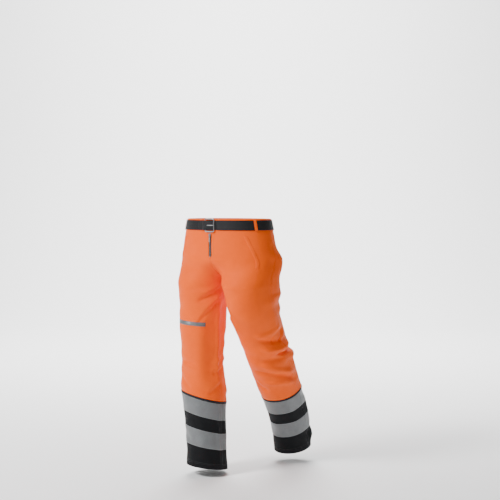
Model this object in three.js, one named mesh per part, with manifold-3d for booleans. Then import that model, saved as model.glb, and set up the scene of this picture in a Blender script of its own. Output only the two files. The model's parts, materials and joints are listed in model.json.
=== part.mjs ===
// Hi-vis protective leg wear for chainsaw work: all-round orange legs with dark cuffs, worn in mid stride.
// Millimetres, +Z up. The origin is the centre of the waist opening at its top rim, the wearer faces -Y,
// and the wearer's left side is +X. "Down" is the distance below the waist rim, and from the crotch on it
// runs along the leg's own centre line. "u" runs round one side of the garment from its inner seam, over
// the front (0.25), the outer side (0.5) and the back (0.75) to the inner seam again.
import * as THREE from "three";
import { mergeVertices } from "three/addons/utils/BufferGeometryUtils.js";
import Module from "manifold-3d";

const wasm = await Module();
wasm.setup();

// ---- driving dimensions ----
const CROTCH_DOWN = 255;
const RISE_CURVE_START = CROTCH_DOWN - 100; // where the crotch curve begins and the legs begin to part

// Hip outline at equal steps from the waist rim to the crotch: half width, front depth, back depth.
const HIPS = [
  [178, 127, 128],
  [196, 131, 141],
  [208, 131, 146],
  [212, 130, 136],
];

// Height from the crotch to the hem along the upright.
const RIGHT_LEG_HEIGHT = 745;
const LEFT_LEG_HEIGHT = 715;

// Leg outline. at: share of the leg's height; out: centre from the middle plane; y: centre;
// a, b: half width across and front to back; leanY: back edge higher; leanX: outer edge higher (degrees).
const RIGHT_LEG = [
  { at: 0.000, out: 108, y: -18, a: 98, b: 112, leanY: 0, leanX: 0 },
  { at: 0.128, out: 107, y: -24, a: 92, b: 102, leanY: 0, leanX: 2 },
  { at: 0.262, out: 108, y: -28, a: 88, b: 98, leanY: -2, leanX: 5 },
  { at: 0.389, out: 109, y: -28, a: 84, b: 86, leanY: -5, leanX: 8 },
  { at: 0.530, out: 110, y: -22, a: 87, b: 90, leanY: -9, leanX: 11 },
  { at: 0.651, out: 110, y: -15, a: 87, b: 89, leanY: -10, leanX: 12 },
  { at: 0.779, out: 109, y: -5, a: 82, b: 85, leanY: -10, leanX: 11 },
  { at: 0.893, out: 108, y: -2, a: 80, b: 84, leanY: -9, leanX: 8 },
  { at: 1.000, out: 108, y: 2, a: 80, b: 86, leanY: -8, leanX: 4 },
];
const LEFT_LEG = [
  { at: 0.000, out: 108, y: -30, a: 98, b: 116, leanY: 6, leanX: 0 },
  { at: 0.105, out: 108, y: -6, a: 96, b: 111, leanY: 17, leanX: 0 },
  { at: 0.252, out: 105, y: 62, a: 89, b: 98, leanY: 22, leanX: 0 },
  { at: 0.399, out: 98, y: 134, a: 85, b: 96, leanY: 20, leanX: 0 },
  { at: 0.552, out: 87, y: 212, a: 83, b: 88, leanY: 21, leanX: 2 },
  { at: 0.706, out: 77, y: 294, a: 79, b: 82, leanY: 23, leanX: 2 },
  { at: 0.846, out: 69, y: 350, a: 76, b: 80, leanY: 20, leanX: 2 },
  { at: 1.000, out: 62, y: 386, a: 75, b: 80, leanY: 12, leanX: 0 },
];

const SIDE_STEPS = 12; // facets round one side of the garment
const ROW_STEP = 60; // spacing of the rows down the garment

const SHELL = 2; // outer fabric
const PAD_GAP = 0.5;
const PAD = 6.5; // cut-protection quilt
const LINING_GAP = 0.6;
const LINING = 1;
const SEAM_GAP = 0.5;

const WAISTBAND = 3;
const ELASTIC_WIDTH = 34;
const ELASTIC = 2;
const BELT_WIDTH = 38;
const BELT_MARGIN = 5; // waistband above and below the belt
const WAISTBAND_HEIGHT = BELT_WIDTH + 2 * BELT_MARGIN;
const BELT = 2;
const BELT_GAP = 1;
const BELT_LOOP_WIDTH = 14;
const BELT_LOOP_WALL = 1.2;
const BELT_LOOP_ANGLES = [-62, -122, 180, 122, 62]; // degrees from the front, wearer's left positive
const BUCKLE_WIDTH = 46;
const BUCKLE_ROD = 2.6; // radius
const BUCKLE_PLAY = 2.8; // room above and below the belt inside the buckle
const BUCKLE_HEIGHT = BELT_WIDTH + 2 * BUCKLE_PLAY + 4 * BUCKLE_ROD;
const PRONG_WIDTH = 5;
const PRONG = 3;
const PIN_CLEARANCE = 0.4;

const ZIP_TOP = WAISTBAND_HEIGHT + 8;
const ZIP_END = RISE_CURVE_START - 5;
const ZIP_LENGTH = ZIP_END - ZIP_TOP;
const ZIP_TAPE_WIDTH = 20;
const GUARD_GAP = 4;
const GUARD_ANGLE = 7; // half of the guard's sweep, degrees from the front
const ZIP_TAPE = 1.2;
const ZIP_COIL_WIDTH = 5;
const ZIP_COIL = 1.6;
const SLIDER_LENGTH = 14;
const SLIDER_WIDTH = 11;
const SLIDER_WALL = 1.2;
const PULL_LENGTH = 26;
const PULL_WIDTH = 7;
const PULL = 1.6;

// Hips and knees bend about straight axes. Below each axis the upper part stays inside a drum.
const [, HIP_FRONT, HIP_BACK] = HIPS[2];
const HIP_AXIS_DOWN = CROTCH_DOWN - 130;
const HIP_CLEARANCE = 13.5;
const HIP_RADIUS = (HIP_FRONT + HIP_BACK) / 2 + HIP_CLEARANCE;
const KNEE_AT = 0.356; // share of the leg's height
const KNEE_CLEARANCE = 18;
const JOINT_GAP = 6;

const CUFF_LENGTH = 290; // from the orange cloth's lower seam to the hem
const BINDING_WIDTH = 9;
const TAPE_WIDTH = 70;
const TAPE_SPACING = 56;
const TRIM = 0.7; // reflective tape and binding
const TRIM_GAP = 0.4;
const PAD_TOP_DOWN = CROTCH_DOWN - 40;
const PAD_HEM_CLEARANCE = 50;
const LINING_HEM_CLEARANCE = 22;

const SNAP_RADIUS = 6.5;
const SNAP = 2.2;

const STRIP_DOWN = CROTCH_DOWN + 149;
const STRIP_WIDTH = 16;
const STRIP_U = [0.125, 0.4];

const PATCH_GAP = 2;
const WELT_GAP = 3;
const POCKET_WELT = 1.4;
const POCKET_BAG = 1.2;
const HAND_POCKET_DOWN = [WAISTBAND_HEIGHT + 18, WAISTBAND_HEIGHT + 138];
const HAND_POCKET_U = [0.24, 0.27];
const HAND_POCKET_SLANT = 0.09; // how far the welt runs to the side over its length, as a share of u
const BACK_POCKET_SWEEP = [18, 56]; // degrees from the back, towards the wearer's right
const BACK_POCKET_DOWN = [WAISTBAND_HEIGHT + 36, WAISTBAND_HEIGHT + 102];
const FLAP_DOWN = [WAISTBAND_HEIGHT + 24, WAISTBAND_HEIGHT + 68];
const FLAP = 1.6;
const FLAP_GAP = 1.2;

// ---- colours ----
const finish = (color, roughness, metalness = 0) => new THREE.MeshStandardMaterial({ color, roughness, metalness });
const ORANGE = finish(0xff7a24, 0.75);
const CHARCOAL = finish(0x2a2b2d, 0.8);
const BLACK = finish(0x17171a, 0.7);
const REFLECTIVE = finish(0x8d9294, 0.45, 0.3);
const QUILT = finish(0xd8d2be, 0.95);
const LINER = finish(0x3a3c40, 0.9);
const STEEL = finish(0xb8babd, 0.35, 0.9);
const WEBBING = finish(0x1d1d20, 0.85);

// ---- surface of the garment ----
const degrees = THREE.MathUtils.degToRad;

// Catmull-Rom through equally spaced rows of numbers.
function along(rows, t) {
  const last = rows.length - 1;
  const i = THREE.MathUtils.clamp(Math.floor(t), 0, last - 1);
  const f = t - i;
  const p1 = rows[i];
  const p2 = rows[i + 1];
  const p0 = rows[i - 1] ?? p1.map((x, k) => 2 * x - p2[k]);
  const p3 = rows[i + 2] ?? p2.map((x, k) => 2 * x - p1[k]);
  return p1.map(
    (x, k) =>
      x +
      0.5 * f * (p2[k] - p0[k] + f * (2 * p0[k] - 5 * x + 4 * p2[k] - p3[k] + f * (3 * (x - p2[k]) + p3[k] - p0[k]))),
  );
}

// One leg: its outline rows, and the length of its centre line from the crotch to the hem.
function makeLeg(side, height, stations) {
  const drop = (at) => CROTCH_DOWN + at * height;
  const rows = stations.map((s) => [drop(s.at), s.out, s.y, s.a, s.b, degrees(s.leanY), degrees(s.leanX)]);
  const fine = 40;
  const lengths = [0];
  for (let i = 1; i <= fine * (rows.length - 1); i++) {
    const [d0, x0, y0] = along(rows, (i - 1) / fine);
    const [d1, x1, y1] = along(rows, i / fine);
    lengths.push(lengths.at(-1) + Math.hypot(d1 - d0, x1 - x0, y1 - y0));
  }
  const rowAt = (length) => {
    const found = lengths.findIndex((l) => l >= length);
    const i = found < 0 ? lengths.length - 1 : Math.max(found, 1);
    return (i - 1 + (length - lengths[i - 1]) / (lengths[i] - lengths[i - 1])) / fine;
  };
  const kneeRow = lengths.findIndex((_, i) => along(rows, i / fine)[0] >= drop(KNEE_AT)) / fine;
  const [kneeDrop, , kneeY, , kneeDepth] = along(rows, kneeRow);
  const [nextDrop, , nextY] = along(rows, kneeRow + 1);
  const slope = Math.atan2(nextY - kneeY, nextDrop - kneeDrop);
  const knee = { y: kneeY, drop: kneeDrop, slope, radius: kneeDepth + KNEE_CLEARANCE };
  const hem = CROTCH_DOWN + lengths.at(-1);
  const cuffTop = hem - CUFF_LENGTH;
  const tape1 = [cuffTop + BINDING_WIDTH, cuffTop + BINDING_WIDTH + TAPE_WIDTH];
  const tape2 = [tape1[1] + TAPE_SPACING, tape1[1] + TAPE_SPACING + TAPE_WIDTH];
  return {
    name: side < 0 ? "right" : "left",
    side,
    knee,
    rows,
    rowAt,
    thighTop: CROTCH_DOWN - ROW_STEP,
    padTop: PAD_TOP_DOWN,
    shinTop: CROTCH_DOWN + ROW_STEP,
    thighEnd: cuffTop - ROW_STEP,
    cuffTop,
    tape1,
    tape2,
    padHem: hem - PAD_HEM_CLEARANCE,
    liningHem: hem - LINING_HEM_CLEARANCE,
    hem,
  };
}

const legs = [makeLeg(-1, RIGHT_LEG_HEIGHT, RIGHT_LEG), makeLeg(1, LEFT_LEG_HEIGHT, LEFT_LEG)];

function legPoint(leg, down, u, off) {
  const [drop, out, y, a, b, leanY, leanX] = along(leg.rows, leg.rowAt(down - CROTCH_DOWN));
  const across = (a + off) * Math.cos(Math.PI * (2 * u - 1));
  const back = (b + off) * Math.sin(Math.PI * (2 * u - 1));
  return new THREE.Vector3(
    leg.side * (out + across * Math.cos(leanX)),
    y + back * Math.cos(leanY),
    -drop + across * Math.sin(leanX) + back * Math.sin(leanY),
  );
}

// The hip outline at an angle from the front, positive towards the wearer's left.
function hipOutline(down, angle, off) {
  const [half, front, back] = along(HIPS, (down / CROTCH_DOWN) * (HIPS.length - 1));
  const depth = (Math.cos(angle) > 0 ? front : back) + off;
  return new THREE.Vector3((half + off) * Math.sin(angle), -depth * Math.cos(angle), -down);
}

// The garment's outer face, moved out by off: the hip outline turns into the leg's outline down to the crotch.
function surface(leg, down, u, off) {
  if (down >= CROTCH_DOWN) return legPoint(leg, down, u, off);
  const hip = hipOutline(down, leg.side * Math.PI * u, off);
  const top = legPoint(leg, CROTCH_DOWN, u, off);
  top.z += CROTCH_DOWN - down;
  const share = THREE.MathUtils.smoothstep(down, RISE_CURVE_START, CROTCH_DOWN);
  return hip.lerp(top, share);
}

// ---- making solids ----
function solid(geometry) {
  const g = geometry.clone();
  g.deleteAttribute("normal");
  g.deleteAttribute("uv");
  const merged = mergeVertices(g, 1e-3);
  return new wasm.Manifold(
    new wasm.Mesh({
      numProp: 3,
      vertProperties: merged.attributes.position.array,
      triVerts: new Uint32Array(merged.index.array),
    }),
  );
}

function geometryOf(manifold) {
  const made = manifold.getMesh();
  return new THREE.BufferGeometry()
    .setAttribute("position", new THREE.BufferAttribute(new Float32Array(made.vertProperties), 3))
    .setIndex(new THREE.BufferAttribute(new Uint32Array(made.triVerts), 1));
}

// Moves each vertex of a geometry by a function, and turns the faces round where that mirrors the solid.
function reshaped(geometry, place) {
  const position = geometry.attributes.position;
  for (let i = 0; i < position.count; i++) {
    const p = place(position.getX(i), position.getY(i), position.getZ(i));
    position.setXYZ(i, p.x, p.y, p.z);
  }
  if (solid(geometry).volume() < 0) {
    const index = geometry.index.array;
    for (let i = 0; i < index.length; i += 3) [index[i + 1], index[i + 2]] = [index[i + 2], index[i + 1]];
  }
  return geometry;
}

// Values from lo to hi with every step line between them.
function lines(lo, hi, marks) {
  const nearest = 1e-6 * Math.abs(hi - lo) + 1e-9;
  return [lo, ...marks.filter((m) => m > lo + nearest && m < hi - nearest), hi];
}

// The rows that every layer of a leg shares, so that nested layers never cross.
function rowsBetween(leg, lo, hi) {
  const even = Array.from({ length: Math.ceil(leg.hem / ROW_STEP) }, (_, i) => i * ROW_STEP);
  const ends = [CROTCH_DOWN, leg.thighTop, leg.padTop, leg.shinTop, leg.thighEnd, leg.padHem, leg.liningHem];
  const seams = [...ends, RISE_CURVE_START, leg.cuffTop, ...leg.tape1, ...leg.tape2];
  const kept = even.filter((e) => seams.every((s) => Math.abs(s - e) > ROW_STEP / 3));
  const marks = [...kept, ...seams].sort((p, q) => p - q);
  return lines(lo, hi, marks);
}

const sideLines = Array.from({ length: SIDE_STEPS + 1 }, (_, i) => i / SIDE_STEPS);

const pick = (list, x) => list[Math.round((x + 0.5) * (list.length - 1))];

// A thick block whose outer face lies on the garment at off, between two rows and two side lines.
const BLOCK = 20;

function block(leg, [down0, down1], [u0, u1], off, on) {
  const rows = rowsBetween(leg, down0, down1);
  const columns = lines(u0, u1, sideLines);
  const box = new THREE.BoxGeometry(1, 1, 1, columns.length - 1, rows.length - 1, 1);
  const place = (x, y, z) => on(leg, pick(rows, y), pick(columns, x), z < 0 ? off - BLOCK : off);
  return solid(reshaped(box, place));
}

// A sheet on the garment from off0 to off1: one block less a deeper, wider one.
function sheet(leg, [down0, down1], [u0, u1], [off0, off1], on = surface) {
  const outer = block(leg, [down0, down1], [u0, u1], off1, on);
  const inner = block(leg, [down0 - 3, down1 + 3], [u0 - 0.01, u1 + 0.01], off0, on);
  return geometryOf(outer.subtract(inner));
}

// The same surface as its facets have it: flat between the shared rows and side lines.
function facets(leg, down, u, off) {
  const bracket = (list, x) => {
    const i = THREE.MathUtils.clamp(list.findLastIndex((m) => m <= x), 0, list.length - 2);
    return [list[i], list[i + 1], (x - list[i]) / (list[i + 1] - list[i])];
  };
  const [down0, down1, s] = bracket(rowsBetween(leg, 0, leg.hem), down);
  const [u0, u1, t] = bracket(sideLines, u);
  const corner = surface(leg, s > t ? down1 : down0, s > t ? u0 : u1, off);
  const p = corner.multiplyScalar(Math.abs(t - s));
  p.addScaledVector(surface(leg, down0, u0, off), 1 - Math.max(s, t));
  return p.addScaledVector(surface(leg, down1, u1, off), Math.min(s, t));
}

// A plug that fills one leg out to off, and a tube: one plug less a thinner, longer one.
function plug(leg, [down0, down1], off) {
  const rows = rowsBetween(leg, down0, down1);
  const round = new THREE.CylinderGeometry(1, 1, 1, SIDE_STEPS, rows.length - 1);
  const place = (x, y, z) => {
    const down = pick(rows, y);
    if (Math.hypot(x, z) > 0.5) return surface(leg, down, Math.atan2(x, z) / (2 * Math.PI) + 0.5, off);
    return surface(leg, down, 0.25, off).add(surface(leg, down, 0.75, off)).multiplyScalar(0.5);
  };
  return solid(reshaped(round, place));
}

function legTube(leg, [down0, down1], [off0, off1]) {
  return geometryOf(plug(leg, [down0, down1], off1).subtract(plug(leg, [down0 - 3, down1 + 3], off0)));
}

// A sheet on the hip outline between two angles (degrees) and two depths, from off0 to off1.
function hipSheet([down0, down1], [angle0, angle1], [off0, off1]) {
  const step = 180 / SIDE_STEPS;
  const marks = Array.from({ length: 4 * SIDE_STEPS + 1 }, (_, i) => (i - 2 * SIDE_STEPS) * step);
  const columns = lines(angle0, angle1, marks);
  const box = new THREE.BoxGeometry(1, 1, 1, columns.length - 1, 1, 1);
  const place = (x, y, z) => {
    const angle = columns[Math.round((x + 0.5) * (columns.length - 1))];
    return hipOutline(y < 0 ? down0 : down1, degrees(angle), z < 0 ? off0 : off1);
  };
  return reshaped(box, place);
}

function hipRing([down0, down1], [off0, off1]) {
  const corners = [
    [off1, down0],
    [off1, down1],
    [off0, down1],
    [off0, down0],
    [off1, down0],
  ];
  const profile = corners.map(([off, down]) => new THREE.Vector2(off + 1000, down));
  const ring = new THREE.LatheGeometry(profile, 2 * SIDE_STEPS);
  return reshaped(ring, (x, y, z) => hipOutline(y, Math.atan2(x, z), Math.hypot(x, z) - 1000));
}

// The part of space below a joint's axis that the lower part of the garment may use: outside a drum.
// The axis runs from side to side, and slope turns "below" back along a leg that slants.
function belowAxis({ y, drop, slope, radius }, gap) {
  const reach = 2000;
  const block = new THREE.BoxGeometry(reach, reach, reach).translate(0, 0, -reach / 2);
  block.rotateX(slope).translate(0, y, -drop);
  const drum = new THREE.CylinderGeometry(radius + gap, radius + gap, 1.2 * reach, 72).rotateZ(Math.PI / 2);
  drum.translate(0, y, -drop);
  return solid(block).subtract(solid(drum));
}

const hip = { y: (HIP_BACK - HIP_FRONT) / 2, drop: HIP_AXIS_DOWN, slope: 0, radius: HIP_RADIUS };
const hipPartEnds = belowAxis(hip, 0);
const thighStarts = belowAxis(hip, JOINT_GAP);

const hipPart = (geometry) => geometryOf(solid(geometry).subtract(hipPartEnds));

function thighPart(leg, geometry) {
  const end = belowAxis(leg.knee, 0);
  return geometryOf(solid(geometry).intersect(thighStarts).subtract(end));
}

function shinPart(leg, geometry) {
  return geometryOf(solid(geometry).intersect(belowAxis(leg.knee, JOINT_GAP)));
}

// ---- the scene graph ----
const garment = new THREE.Group();

function add(name, geometry, material) {
  const mesh = new THREE.Mesh(geometry, material);
  mesh.name = name;
  garment.add(mesh);
  return mesh;
}

const padInner = -SHELL - PAD_GAP - PAD;
const liningInner = padInner - LINING_GAP - LINING;
const seamU = SEAM_GAP / 2 / (2 * Math.PI * 90);
const FRONT = [seamU, 0.5 - seamU];
const BACK = [0.5 + seamU, 1 - seamU];

// ---- waist: band, elastic, belt, loops and buckle ----
function waist() {
  add("waistband", hipRing([0, WAISTBAND_HEIGHT], [-WAISTBAND, 0]), ORANGE);
  const elasticTop = (WAISTBAND_HEIGHT - ELASTIC_WIDTH) / 2;
  const elasticOff = -WAISTBAND - SEAM_GAP;
  const elastic = [elasticTop, elasticTop + ELASTIC_WIDTH];
  add("waist_elastic", hipSheet(elastic, [105, 255], [elasticOff - ELASTIC, elasticOff]), LINER);

  const beltTop = (WAISTBAND_HEIGHT - BELT_WIDTH) / 2;
  const barAngle = THREE.MathUtils.radToDeg(Math.asin(BUCKLE_WIDTH / 2 / HIPS[0][0]));
  const beltEnds = [barAngle + 2.2, 360 - barAngle - 2.2];
  add("belt_webbing", hipSheet([beltTop, beltTop + BELT_WIDTH], beltEnds, [BELT_GAP, BELT_GAP + BELT]), WEBBING);

  const inside = [BELT_GAP - SEAM_GAP, BELT_GAP + BELT + SEAM_GAP];
  const slot = [beltTop - SEAM_GAP, beltTop + BELT_WIDTH + SEAM_GAP];
  BELT_LOOP_ANGLES.forEach((middle, i) => {
    const half = THREE.MathUtils.radToDeg(BELT_LOOP_WIDTH / 2 / HIPS[0][0]);
    const span = [middle - half, middle + half];
    const over = hipSheet([1, WAISTBAND_HEIGHT - 1], span, [SEAM_GAP, inside[1] + BELT_LOOP_WALL]);
    const room = hipSheet(slot, [span[0] - 2, span[1] + 2], [0, inside[1]]);
    add(`belt_loop_${i + 1}`, geometryOf(solid(over).subtract(solid(room))), ORANGE);
  });
}

// The buckle stands flat across the front of the belt. Its left bar holds the prong.
const BUCKLE_Y = -(HIPS[0][1] + BELT_GAP + BELT + BUCKLE_ROD + 2);
const BUCKLE_DROP = WAISTBAND_HEIGHT / 2;
const BAR_X = -BUCKLE_WIDTH / 2 + BUCKLE_ROD;

function roundedOutline(width, height, radius) {
  const x = width / 2 - radius;
  const y = height / 2 - radius;
  const outline = new THREE.Path();
  outline.absarc(x, y, radius, 0, Math.PI / 2);
  outline.absarc(-x, y, radius, Math.PI / 2, Math.PI);
  outline.absarc(-x, -y, radius, Math.PI, 1.5 * Math.PI);
  outline.absarc(x, -y, radius, 1.5 * Math.PI, 2 * Math.PI);
  return outline.getPoints(5);
}

function buckle() {
  const rod = 2 * BUCKLE_ROD;
  const shape = new THREE.Shape(roundedOutline(BUCKLE_WIDTH, BUCKLE_HEIGHT, 8));
  shape.holes.push(new THREE.Path(roundedOutline(BUCKLE_WIDTH - 2 * rod, BUCKLE_HEIGHT - 2 * rod, 4)));
  const bevel = 0.8;
  const frame = new THREE.ExtrudeGeometry(shape, {
    depth: rod - 2 * bevel,
    bevelSize: bevel,
    bevelThickness: bevel,
    bevelOffset: -bevel,
    bevelSegments: 1,
    curveSegments: 5,
  });
  frame.translate(0, 0, bevel - BUCKLE_ROD).rotateX(Math.PI / 2);
  const eyeRadius = Math.SQRT2 * BUCKLE_ROD + PIN_CLEARANCE;
  const room = new THREE.CylinderGeometry(eyeRadius, eyeRadius, PRONG_WIDTH + 1, 20).rotateX(Math.PI / 2);
  add("belt_buckle_frame", frame, STEEL).position.set(0, BUCKLE_Y, -BUCKLE_DROP);

  // The prong: an eye round the bar, and a finger that rests on the far side of the frame.
  const eye = new THREE.CylinderGeometry(eyeRadius + 1.6, eyeRadius + 1.6, PRONG_WIDTH, 20).rotateX(Math.PI / 2);
  const reach = BUCKLE_WIDTH - BUCKLE_ROD;
  const fingerY = -(BUCKLE_ROD + 0.5 + PRONG / 2);
  const finger = new THREE.BoxGeometry(reach, PRONG, PRONG_WIDTH).translate(reach / 2, fingerY, 0);
  const prong = solid(eye).add(solid(finger)).subtract(solid(room));
  add("belt_buckle_prong", geometryOf(prong), STEEL).position.set(BAR_X, BUCKLE_Y, -BUCKLE_DROP);
}

// ---- fly: zip, guard, slider and pull ----
const ZIP_Y = -HIPS[1][1] + 1;

function fly() {
  const middle = -(ZIP_TOP + ZIP_LENGTH / 2);
  const tape = new THREE.BoxGeometry(ZIP_TAPE_WIDTH, ZIP_TAPE, ZIP_LENGTH);
  const coilDepth = ZIP_TAPE / 2 + ZIP_COIL;
  const coil = new THREE.BoxGeometry(ZIP_COIL_WIDTH, coilDepth, ZIP_LENGTH).translate(0, -coilDepth / 2, 0);
  add("fly_zip_chain", geometryOf(solid(tape).add(solid(coil))), BLACK).position.set(0, ZIP_Y, middle);

  const guardSpan = [ZIP_TOP - 5, ZIP_TOP + ZIP_LENGTH + 5];
  add("fly_zip_guard", hipSheet(guardSpan, [-GUARD_ANGLE, GUARD_ANGLE], [-SHELL - GUARD_GAP - 1.8, -SHELL - GUARD_GAP]), ORANGE);

  // The slider straddles the coil. A bridge on its face carries the pull.
  const channel = ZIP_COIL_WIDTH + 2 * PIN_CLEARANCE;
  const coilTop = coilDepth + PIN_CLEARANCE;
  const base = ZIP_TAPE / 2 + PIN_CLEARANCE;
  const bodyDepth = coilTop + SLIDER_WALL - base;
  const body = new THREE.BoxGeometry(SLIDER_WIDTH, bodyDepth, SLIDER_LENGTH);
  body.translate(0, -(base + bodyDepth / 2), 0);
  const groove = new THREE.BoxGeometry(channel, coilTop, SLIDER_LENGTH + 2).translate(0, -coilTop / 2, 0);
  const bridgeDepth = PULL + 2 * PIN_CLEARANCE + 1.4;
  const bridge = new THREE.BoxGeometry(2.4, bridgeDepth, 8).translate(0, -(coilTop + SLIDER_WALL + bridgeDepth / 2), 0);
  const hole = new THREE.BoxGeometry(4, bridgeDepth - 1.4, 4.4);
  hole.translate(0, -(coilTop + SLIDER_WALL + (bridgeDepth - 1.4) / 2), 0);
  const slider = solid(body).subtract(solid(groove)).add(solid(bridge)).subtract(solid(hole));
  const sliderZ = -(ZIP_TOP + SLIDER_LENGTH / 2 + 1);
  add("fly_slider", geometryOf(slider), STEEL).position.set(0, ZIP_Y, sliderZ);

  // The pull: a plate whose window takes the bridge, hanging down the face of the slider.
  const pin = PULL / 2;
  const plate = new THREE.BoxGeometry(PULL_WIDTH, PULL, PULL_LENGTH).translate(0, 0, pin - PULL_LENGTH / 2);
  const window = new THREE.BoxGeometry(3.2, PULL + 2, 7).translate(0, 0, -pin - 3.5);
  const pull = solid(plate).subtract(solid(window));
  const pullY = ZIP_Y - (coilTop + SLIDER_WALL + PIN_CLEARANCE + PULL / 2);
  add("fly_pull", geometryOf(pull), STEEL).position.set(0, pullY, sliderZ);
}

// ---- hip panels and pockets ----
function zipSlot() {
  const wide = ZIP_TAPE_WIDTH + 2 * SEAM_GAP;
  const slot = new THREE.BoxGeometry(wide, 30, ZIP_LENGTH + 4);
  return solid(slot.translate(0, -HIPS[1][1], -(ZIP_TOP + ZIP_LENGTH / 2)));
}

function hipPanels() {
  const top = WAISTBAND_HEIGHT + SEAM_GAP;
  const bottom = CROTCH_DOWN + 70;
  const slot = zipSlot();
  for (const leg of legs) {
    const front = solid(hipPart(sheet(leg, [top, bottom], FRONT, [-SHELL, 0])));
    add(`front_rise_${leg.name}`, geometryOf(front.subtract(slot)), ORANGE);
    add(`seat_${leg.name}`, hipPart(sheet(leg, [top, bottom], BACK, [-SHELL, 0])), ORANGE);
  }
}

// The gusset fills the strip between the two sides' inner edges, under the crotch.
function crotchGusset() {
  const down = rowsBetween(legs[0], legs[0].thighTop, CROTCH_DOWN);
  const path = [...down.map((d) => [d, 0]), ...down.toReversed().slice(1).map((d) => [d, 1])];
  const box = new THREE.BoxGeometry(1, 1, 1, 1, path.length - 1, 1);
  const place = (x, y, z) => {
    const side = legs[x < 0 ? 0 : 1];
    const at = (i, off) => surface(side, ...path[THREE.MathUtils.clamp(i, 0, path.length - 1)], off);
    const i = Math.round((y + 0.5) * (path.length - 1));
    const run = at(i + 1, 0).sub(at(i - 1, 0)).setX(0).normalize();
    const p = at(i, -SHELL / 2).add(new THREE.Vector3(0, -run.z, run.y).multiplyScalar(SHELL * z));
    const edge = Math.min(Math.abs(at(i, 0).x), Math.abs(at(i, -SHELL).x));
    return p.setX(side.side * Math.max(edge - 2 * SEAM_GAP, 0.2));
  };
  add("crotch_gusset", reshaped(box, place), ORANGE);
}

function pockets() {
  for (const leg of legs) {
    const rows = [HAND_POCKET_DOWN[0], HAND_POCKET_DOWN[1]];
    const onSlant = (l, down, u, off) => {
      const share = (down - rows[0]) / (rows[1] - rows[0]);
      return facets(l, down, u + HAND_POCKET_SLANT * share, off);
    };
    const over = [WELT_GAP, WELT_GAP + POCKET_WELT];
    const welt = sheet(leg, rows, HAND_POCKET_U, over, onSlant);
    add(`hand_pocket_welt_${leg.name}`, hipPart(welt), ORANGE);
    const bagRows = [rows[0] + 8, leg.thighTop + 20];
    const bag = sheet(leg, bagRows, [2 / 12, 5 / 12], [-SHELL - 3 - POCKET_BAG, -SHELL - 3], facets);
    add(`hand_pocket_bag_${leg.name}`, hipPart(bag), LINER);
  }
  // One back pocket on the wearer's right, with a flap that lifts about its upper edge.
  const span = BACK_POCKET_SWEEP.map((a) => a - 180);
  const patch = [PATCH_GAP, PATCH_GAP + POCKET_WELT];
  add("back_pocket_patch", hipSheet(BACK_POCKET_DOWN, span, patch), ORANGE);
  const flap = [patch[1] + FLAP_GAP, patch[1] + FLAP_GAP + FLAP];
  add("back_pocket_flap", hipSheet(FLAP_DOWN, [span[0] - 1.5, span[1] + 1.5], flap), ORANGE);
  const middle = degrees((span[0] + span[1]) / 2);
  const cap = new THREE.CylinderGeometry(SNAP_RADIUS, SNAP_RADIUS, SNAP, 20).rotateX(Math.PI / 2);
  const stud = add("back_pocket_stud", cap, STEEL);
  const studDown = FLAP_DOWN[1] - 2 * SNAP_RADIUS;
  stud.position.copy(hipOutline(studDown, middle, flap[1] + SEAM_GAP + SNAP));
  stud.lookAt(hipOutline(studDown, middle, 500));
}

// ---- legs ----
function legParts(leg) {
  const shell = [-SHELL, 0];
  const pad = [padInner, -SHELL - PAD_GAP];
  const lining = [liningInner, liningInner + LINING];
  const thighRows = [leg.thighTop, leg.thighEnd];
  const shinRows = [leg.shinTop, leg.cuffTop - SEAM_GAP / 2];
  const padU = [1 / 12, 7 / 12];

  add(`thigh_front_${leg.name}`, thighPart(leg, sheet(leg, thighRows, FRONT, shell)), ORANGE);
  add(`thigh_back_${leg.name}`, thighPart(leg, sheet(leg, thighRows, BACK, shell)), ORANGE);
  const padRows = [leg.padTop, leg.thighEnd];
  add(`thigh_cut_pad_${leg.name}`, thighPart(leg, sheet(leg, padRows, padU, pad)), QUILT);
  add(`thigh_lining_${leg.name}`, thighPart(leg, legTube(leg, thighRows, lining)), LINER);

  add(`lower_leg_front_${leg.name}`, shinPart(leg, sheet(leg, shinRows, FRONT, shell)), ORANGE);
  add(`lower_leg_back_${leg.name}`, shinPart(leg, sheet(leg, shinRows, BACK, shell)), ORANGE);
  const cuffRows = [leg.cuffTop + SEAM_GAP / 2, leg.hem];
  add(`cuff_front_${leg.name}`, sheet(leg, cuffRows, FRONT, shell), CHARCOAL);
  add(`cuff_back_${leg.name}`, sheet(leg, cuffRows, BACK, shell), CHARCOAL);
  const shinPadRows = [leg.shinTop, leg.padHem];
  add(`shin_cut_pad_${leg.name}`, shinPart(leg, sheet(leg, shinPadRows, padU, pad)), QUILT);
  const shinLiningRows = [leg.shinTop, leg.liningHem];
  add(`shin_lining_${leg.name}`, shinPart(leg, legTube(leg, shinLiningRows, lining)), LINER);

  const trim = [TRIM_GAP, TRIM_GAP + TRIM];
  const binding = [leg.cuffTop, leg.cuffTop + BINDING_WIDTH - SEAM_GAP];
  add(`cuff_binding_${leg.name}`, legTube(leg, binding, trim), BLACK);
  add(`reflective_band_upper_${leg.name}`, legTube(leg, leg.tape1, trim), REFLECTIVE);
  add(`reflective_band_lower_${leg.name}`, legTube(leg, leg.tape2, trim), REFLECTIVE);
}

// A plain grey strip across the front of the right thigh.
function thighStrip() {
  const rows = [STRIP_DOWN, STRIP_DOWN + STRIP_WIDTH];
  const strip = sheet(legs[0], rows, STRIP_U, [1.5 * TRIM_GAP, 1.5 * TRIM_GAP + TRIM], facets);
  add("thigh_strip_right", strip, REFLECTIVE);
}

legs.forEach(legParts);
thighStrip();
waist();
buckle();
fly();
hipPanels();
crotchGusset();
pockets();

export default garment;
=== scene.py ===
"""Hi-vis protective leg wear for chainsaw work: woven cloth legs, cuffs, quilted pads, belt and fly."""

import json
import math

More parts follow.
